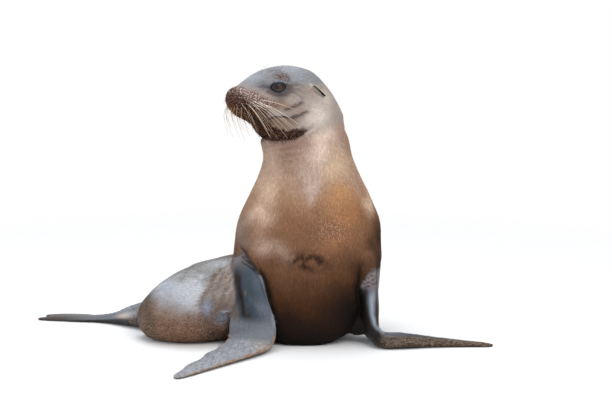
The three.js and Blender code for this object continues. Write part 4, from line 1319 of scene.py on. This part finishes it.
def hair(path, thick, tone):
    """Adds a tapering tube through the points of a path."""
    pts = curve(path, places(path, HAIR_STEPS))
    tangent = unit(np.gradient(pts, axis=0))
    a = unit(np.cross(tangent, (0.3, 0.2, 0.9)))
    b = np.cross(tangent, a)
    cos, sin = (v[None, :, None] for v in angles(6))
    radius = (thick * (1 - 0.72 * np.linspace(0, 1, HAIR_STEPS)))[:, None, None]
    hairs.append(closed(pts[:, None] + radius * (a[:, None] * cos + b[:, None] * sin)))
    hair_tones.append(np.tile(tone, (len(hairs[-1][0]), 1)))


def whisker(sign, row, column):
    """The hind and upper ones are long and lean back. The front ones are short."""
    fore = column / (WHISKER_COLUMNS - 1)
    x = 120 + 8.0 * column + 1.2 * row + rng.uniform(-1.2, 1.2)
    z = 9 - 8 * row - 6 * fore + rng.uniform(-1, 1)
    root, normal = on_muzzle(x, z, sign)
    length = max(124 - 98 * fore - 12 * row, 20) * rng.uniform(0.75, 1.1)
    lean = [-0.94 + 0.12 * row + 0.6 * fore, (0.26 + 0.1 * fore) * sign, -0.40 - 0.17 * row - 0.42 * fore]
    heading = unit(turned(unit(lean + rng.uniform(-0.1, 0.1, 3))))
    droop = -UP * length * rng.uniform(0.04, 0.09)
    path = [root - normal * 1.5, root + unit(heading + normal * 0.3) * length * 0.3,
            root + unit(heading + normal * 0.1) * length * 0.65 + droop * 0.35,
            root + heading * length + droop]
    thick = (0.86 - 0.42 * fore - 0.07 * row) * rng.uniform(0.75, 1.1)
    amber = np.clip(0.25 * row + 0.16 * column - 0.2 + rng.uniform(-0.3, 0.3), 0, 1)
    hair(path, thick, blend("fbf1e4", "a3713f", amber))


def hanging_whisker(sign, x, length):
    """A long one that hangs before the lip."""
    root, normal = on_muzzle(x, -6, sign)
    heading = unit(turned(unit([-0.2 + rng.uniform(-0.08, 0.12), 0.16 * sign, -1])))
    path = [root - normal * 1.5, root + unit(heading + normal * 0.5) * length * 0.3,
            root + unit(heading + normal * 0.15) * length * 0.66, root + heading * length]
    hair(path, 0.5, linear("c9a578"))


def brow_hair(sign, x, z, length):
    """A stiff hair over the eye that bends back."""
    root, normal = on_muzzle(x, z, sign)
    bend = turned((-0.5, 0.5 * sign, 0.7))
    path = [root - normal, root + unit(bend + normal) * length * 0.5, root + bend * length]
    hair(path, 0.4, linear("8b7c70"))


def bristle(i):
    """A short stiff hair of the lower lip and chin that lies back along the coat."""
    length = rng.uniform(6, 13)
    lean = flow[i] + N[i] * rng.uniform(0.12, 0.3) - UP * rng.uniform(0, 0.5)
    heading = unit(lean + rng.uniform(-0.15, 0.15, 3))
    path = [P[i] - N[i], P[i] + unit(heading + N[i] * 0.2) * length * 0.5, P[i] + heading * length - UP * 0.6]
    hair(path, 0.3, blend("653a12", "bb843f", rng.random()))


for sign in (1, -1):
    for row in range(WHISKER_ROWS):
        for column in range(WHISKER_COLUMNS):
            whisker(sign, row, column)
    for x, length in ((160, 52), (166, 74), (170, 66), (173, 46)):
        hanging_whisker(sign, x, length)
    for x, z, length in ((88, 58, 22), (79, 60, 27)):
        brow_hair(sign, x, z, length)
for i in rng.choice(np.where(DULL > 0.5)[0], BRISTLES):
    bristle(i)
whiskers = piece("whiskers", together(hairs), whisker_nodes.material)
attributes(whiskers, tone=np.concatenate(hair_tones))

# ---- claws ----
claw_nodes = Nodes("claw")
claw_nodes.surface(Base_Color=claw_nodes.mix(claw_nodes.remap(claw_nodes.noise(300.0), 0.4, 0.6, 0, 1),
                                             linear("201c1a"), linear("433a33")), Roughness=0.35)
for side, toe_set in toe_sets.items():
    for number in CLAW["toes"]:
        start, heading, reach, _ = toe_set[number]
        root = start * (1, 1, 0) + UP * CLAW["rise"] + heading * reach * CLAW["share"]
        horn = taper(root, root + heading * CLAW["length"], CLAW["radius"], CLAW["tip"], 16)
        name = f"{side}_{number + 1}"
        piece(f"claw_horn_{name}", horn, claw_nodes.material, [f"claw_{name}"])

# ---- ears ----
EAR_SLOT = 0.8  # half the opening's angle
EAR_WALL = 26   # points across each side of the furled wall


def pinna(side, sign):
    """A small furled leaf, open outwards, that lies back along the head."""
    sweep, flare = math.radians(EAR["sweep"]), math.radians(EAR["flare"])
    root = np.array(EAR["at"], float) * (1, sign, 1)
    run = np.array([-math.cos(sweep) * math.cos(flare), sign * math.sin(flare), -math.sin(sweep)])
    out = unit(np.array([0, sign, 0]) - run * (run[1] * sign))
    over = np.cross(run, out) * sign
    t = np.linspace(0, 1, 30)[:, None]
    radius = EAR["tip"] + (EAR["root"] - EAR["tip"]) * (1 - t ** 1.7) * (0.8 + 0.2 * ramp(t, 0, 0.25))
    phi = np.linspace(EAR_SLOT, 2 * np.pi - EAR_SLOT, EAR_WALL)
    wall = np.stack([np.cos(phi), 0.86 * np.sin(phi)], 1)
    lip = 1 + 0.16 * band(phi, phi[0], 0.4) + 0.16 * band(phi, phi[-1], 0.4)
    x, y = np.concatenate([wall * lip[:, None], wall[::-1] * (lip[::-1] - 0.26)[:, None]]).T
    spine = root + run * (t * EAR["length"])[..., None]
    local = spine + out * (radius * x + 1.5 * t ** 2)[..., None] + over * (radius * y)[..., None]
    verts, *faces = closed(head_to_model(local))
    ear = piece(f"pinna_{side}", (verts, *outward(verts, *faces)), SKIN_FINISH, [f"ear_{side}"])
    row = np.concatenate([np.zeros(EAR_WALL), np.ones(EAR_WALL)])
    inside = np.concatenate([np.tile(row, len(t)), [1, 0]])[:, None]
    edge = np.concatenate([lip, lip[::-1]]) - 1
    pale = np.concatenate([np.tile(edge, len(t)) * 6, [0, 0]]).clip(0, 1)[:, None]
    tip_share = np.concatenate([np.repeat(t[:, 0], 2 * EAR_WALL), [0, 1]])[:, None]
    outside = linear("a3968c") + (linear("2a2321") - linear("a3968c")) * ramp(tip_share, 0.05, 0.4)
    # the inner wall is near black: painted shade in the furled ear's hollow
    tones = outside * (1 - inside) + linear("120d0c") * inside
    tones = tones + (linear("cdc4bc") - tones) * pale * (1 - inside)
    none = np.zeros((len(verts), 3))
    attributes(ear, tone=tones, grain=place(verts), marks=none + (0, 0, 0.3), traits=none)


for side, sign in SIDES:
    pinna(side, sign)

# ---- coat: short flat locks ----
# a lock's points: shares of its length ahead, of its half width beside, and of its half width above
LOCK = np.array([[0, 0, -0.25], [0.45, 1, 0], [0.45, -1, 0], [0.5, 0, 0.45], [1, 0, 0]])
LOCK_FACES = np.array([[0, 1, 3], [0, 3, 2], [1, 4, 3], [3, 4, 2], [0, 2, 1], [1, 2, 4]])
LOCK_PATCH = 0.0015 * np.array([[0, -1], [1, 0], [-1, 0], [0, 0], [0, 1]])
LOCK_POINTS = len(LOCK)
LOCKS_A_PIECE = 33000
LOWEST = 0.8  # no lock reaches nearer the floor than this


def unwrap(obj):
    """Unfolds the skin by its own shape, and gives the corners' places for each of its triangles."""
    for other in bpy.context.selected_objects:
        other.select_set(False)
    bpy.context.view_layer.objects.active = obj
    obj.select_set(True)
    bpy.ops.object.mode_set(mode="EDIT")
    bpy.ops.mesh.select_all(action="SELECT")
    bpy.ops.uv.smart_project(angle_limit=math.radians(66), island_margin=0.002)
    bpy.ops.object.mode_set(mode="OBJECT")
    layer = obj.data.uv_layers.active
    layer.name = "OFBake"
    uv = np.empty(len(obj.data.loops) * 2, np.float32)
    layer.data.foreach_get("uv", uv)
    uv = uv.reshape(-1, 2)
    four = uv[:len(quads) * 4].reshape(-1, 4, 2)
    three = uv[len(quads) * 4:].reshape(-1, 3, 2)
    return np.concatenate([four[:, [0, 1, 2]], four[:, [0, 2, 3]], three])


furry = (1 - np.clip(BARE * 1.5, 0, 1)) * (1 - NOSE) * (1 - lips) * ramp(Z, 2, 6) * ramp(LID, 1.6, 2.0)
furry = furry * (1 - 0.55 * ramp(SLEEK, 0.5, 1) * (1 - ON_HEAD))
area = np.linalg.norm(np.cross(P[TRI[:, 1]] - P[TRI[:, 0]], P[TRI[:, 2]] - P[TRI[:, 0]]), axis=1)
density = area * furry[TRI].mean(1) * (1 + 1.3 * ON_HEAD[TRI].mean(1))
pick = rng.choice(len(TRI), COAT_COUNT, p=density / density.sum())
r1, r2 = np.sqrt(rng.random(COAT_COUNT)), rng.random(COAT_COUNT)
bary = np.stack([1 - r1, r1 * (1 - r2), r1 * r2], 1)


def at_root(values):
    """The skin's values at the locks' roots."""
    return np.einsum("ik,ik...->i...", bary, values[TRI[pick]])


root, normal, lie = at_root(P), unit(at_root(N)), at_root(flow)
lie = unit(lie + rng.normal(0, 0.15, lie.shape))
lie = unit(lie - normal * dots(lie, normal)[:, None])
side_way = np.cross(normal, lie)
head_share = at_root(ON_HEAD)
root_head = model_to_head(root)
muzzle = head_share * ramp(root_head[:, 0], 84, 130)
stubble = head_share * blob(root_head * (1, 0, 1), (124, 0, 12), (34, 1, 22))
wet_clumps = blob(root, (50, -120, 262), (64, 70, 44)) + stubble
# the locks are shorter and narrower on the head, and shortest on the muzzle
length = (8.5 - 3.6 * head_share - 1.9 * muzzle) * rng.uniform(0.75, 1.25, COAT_COUNT)
half = (0.60 - 0.2 * head_share) * rng.uniform(0.8, 1.2, COAT_COUNT)
rise = (0.05 + 0.07 * np.clip(wet_clumps, 0, 1)) * length
ahead, beside, above = LOCK.T
lift = rise[:, None] * (ahead > 0) + above * np.maximum(half, 0.5)[:, None]
locks = (root[:, None] + lie[:, None] * (ahead * length[:, None])[..., None]
         + side_way[:, None] * (beside * half[:, None])[..., None] + normal[:, None] * lift[..., None])
locks[:, 4] -= normal * (0.5 * rise)[:, None] * (1 - np.clip(wet_clumps, 0, 1))[:, None]
locks[..., 2] = np.maximum(locks[..., 2], LOWEST)
spread = 0.13 + 0.14 * np.clip(wet_clumps, 0, 1)
tones = at_root(colour) * (1.1 + spread * rng.uniform(-1, 1, COAT_COUNT))[:, None]
tones = tones + (linear("c2a798") - tones) * (stubble * (rng.random(COAT_COUNT) < 0.22))[:, None] * 0.8
layers = dict(tone=tones, grain=at_root(grain), marks=at_root(MARKS), traits=at_root(TRAITS))
root_uv = np.clip(np.einsum("ik,ikj->ij", bary, unwrap(skin)[pick]), 0.002, 0.998)

order = np.argsort(root[:, 0] * 0.3 + root[:, 2])
for number, first in enumerate(range(0, COAT_COUNT, LOCKS_A_PIECE)):
    chosen = order[first:first + LOCKS_A_PIECE]
    faces = (LOCK_FACES + LOCK_POINTS * np.arange(len(chosen))[:, None, None]).reshape(-1, 3)
    shape = (locks[chosen].reshape(-1, 3), faces)
    coat = piece(f"coat_{number + 1}", shape, COAT_FINISH, smooth=False)
    attributes(coat, **{name: np.repeat(values[chosen], LOCK_POINTS, 0) for name, values in layers.items()})
    layer = coat.data.uv_layers.new(name="OFBake")
    per_vertex = (root_uv[chosen][:, None] + LOCK_PATCH[None]).reshape(-1, 2)
    layer.data.foreach_set("uv", per_vertex[faces.ravel()].astype(np.float32).ravel())

# ---- floor, light and camera ----
scene = bpy.context.scene
scene.view_settings.view_transform = "Standard"
FLOOR_HALF = 3.2
FADE = (0.62, 1.9)  # metres from the middle, over which the floor fades into the backdrop

floor_nodes = Nodes("floor")
floor_nodes.surface(Base_Color=(0.92, 0.915, 0.91), Roughness=0.9, Specular_IOR_Level=0.1)
from_middle = floor_nodes.add("ShaderNodeVectorMath", operation="LENGTH")
floor_nodes.link(floor_nodes.add("ShaderNodeTexCoord").outputs["Object"], from_middle.inputs[0])
fade = floor_nodes.remap(from_middle.outputs["Value"], *FADE, 0, 1)
faded = floor_nodes.add("ShaderNodeMixShader")
clear = floor_nodes.add("ShaderNodeBsdfTransparent")
for value, socket in zip((fade, floor_nodes.shader.outputs[0], clear.outputs[0]), faded.inputs):
    floor_nodes.link(value, socket)
floor_nodes.link(faded.outputs[0], floor_nodes.output.inputs[0])
corners = FLOOR_HALF * np.array([(-1, -1, 0), (1, -1, 0), (1, 1, 0), (-1, 1, 0)])
ground = mesh_object("floor", corners, [np.array([[0, 1, 2, 3]])], floor_nodes.material)


def studio():
    """A white surround to the camera and to reflections, and a soft cool light to everything else."""
    world = bpy.data.worlds.new("studio")
    scene.world = world
    world.use_nodes = True
    nodes, link = world.node_tree.nodes, world.node_tree.links.new
    soft = nodes["Background"]
    white = nodes.new("ShaderNodeBackground")
    for ground, tint, strength in ((soft, (0.93, 0.96, 1.0, 1), 0.66), (white, (1, 1, 1, 1), 1.0)):
        ground.inputs["Color"].default_value = tint
        ground.inputs["Strength"].default_value = strength
    rays = nodes.new("ShaderNodeLightPath")
    seen = rays.outputs["Is Camera Ray"]
    for kind in ("Is Glossy Ray", "Is Transmission Ray"):
        either = nodes.new("ShaderNodeMath")
        either.operation = "MAXIMUM"
        link(seen, either.inputs[0])
        link(rays.outputs[kind], either.inputs[1])
        seen = either.outputs[0]
    choose = nodes.new("ShaderNodeMixShader")
    for value, socket in zip((seen, soft.outputs[0], white.outputs[0]), choose.inputs):
        link(value, socket)
    link(choose.outputs[0], nodes["World Output"].inputs[0])


def lamp(name, offset, size, power, tint):
    """A square lamp that looks at the middle of the body."""
    data = bpy.data.lights.new(name, "AREA")
    data.shape = "SQUARE"
    data.size = size
    data.energy = power
    data.color = tint
    obj = bpy.data.objects.new(name, data)
    scene.collection.objects.link(obj)
    middle = Vector(place((-60, 0, 250)))
    obj.location = middle + Vector(offset)
    obj.rotation_euler = (-Vector(offset)).to_track_quat("-Z", "Y").to_euler()


studio()
lamp("key", (1.3, -2.0, 2.4), 2.0, 47, (1.0, 0.98, 0.95))
lamp("fill", (-2.4, -1.4, 1.3), 2.0, 18, (0.95, 0.97, 1.0))
lamp("top", (-0.3, 0.3, 2.6), 1.8, 34, (0.92, 0.96, 1.0))

CAMERA_AT = (-8.8, -3000, 750)
CAMERA_DOWN = 8.53  # degrees
camera_data = bpy.data.cameras.new("camera")
camera_data.sensor_width = 36
camera_data.lens = 81.1
camera_data.clip_end = 200
camera = bpy.data.objects.new("camera", camera_data)
scene.collection.objects.link(camera)
camera.location = Vector(place(CAMERA_AT))
camera.rotation_euler = (math.radians(90 - CAMERA_DOWN), 0, 0)
scene.camera = camera
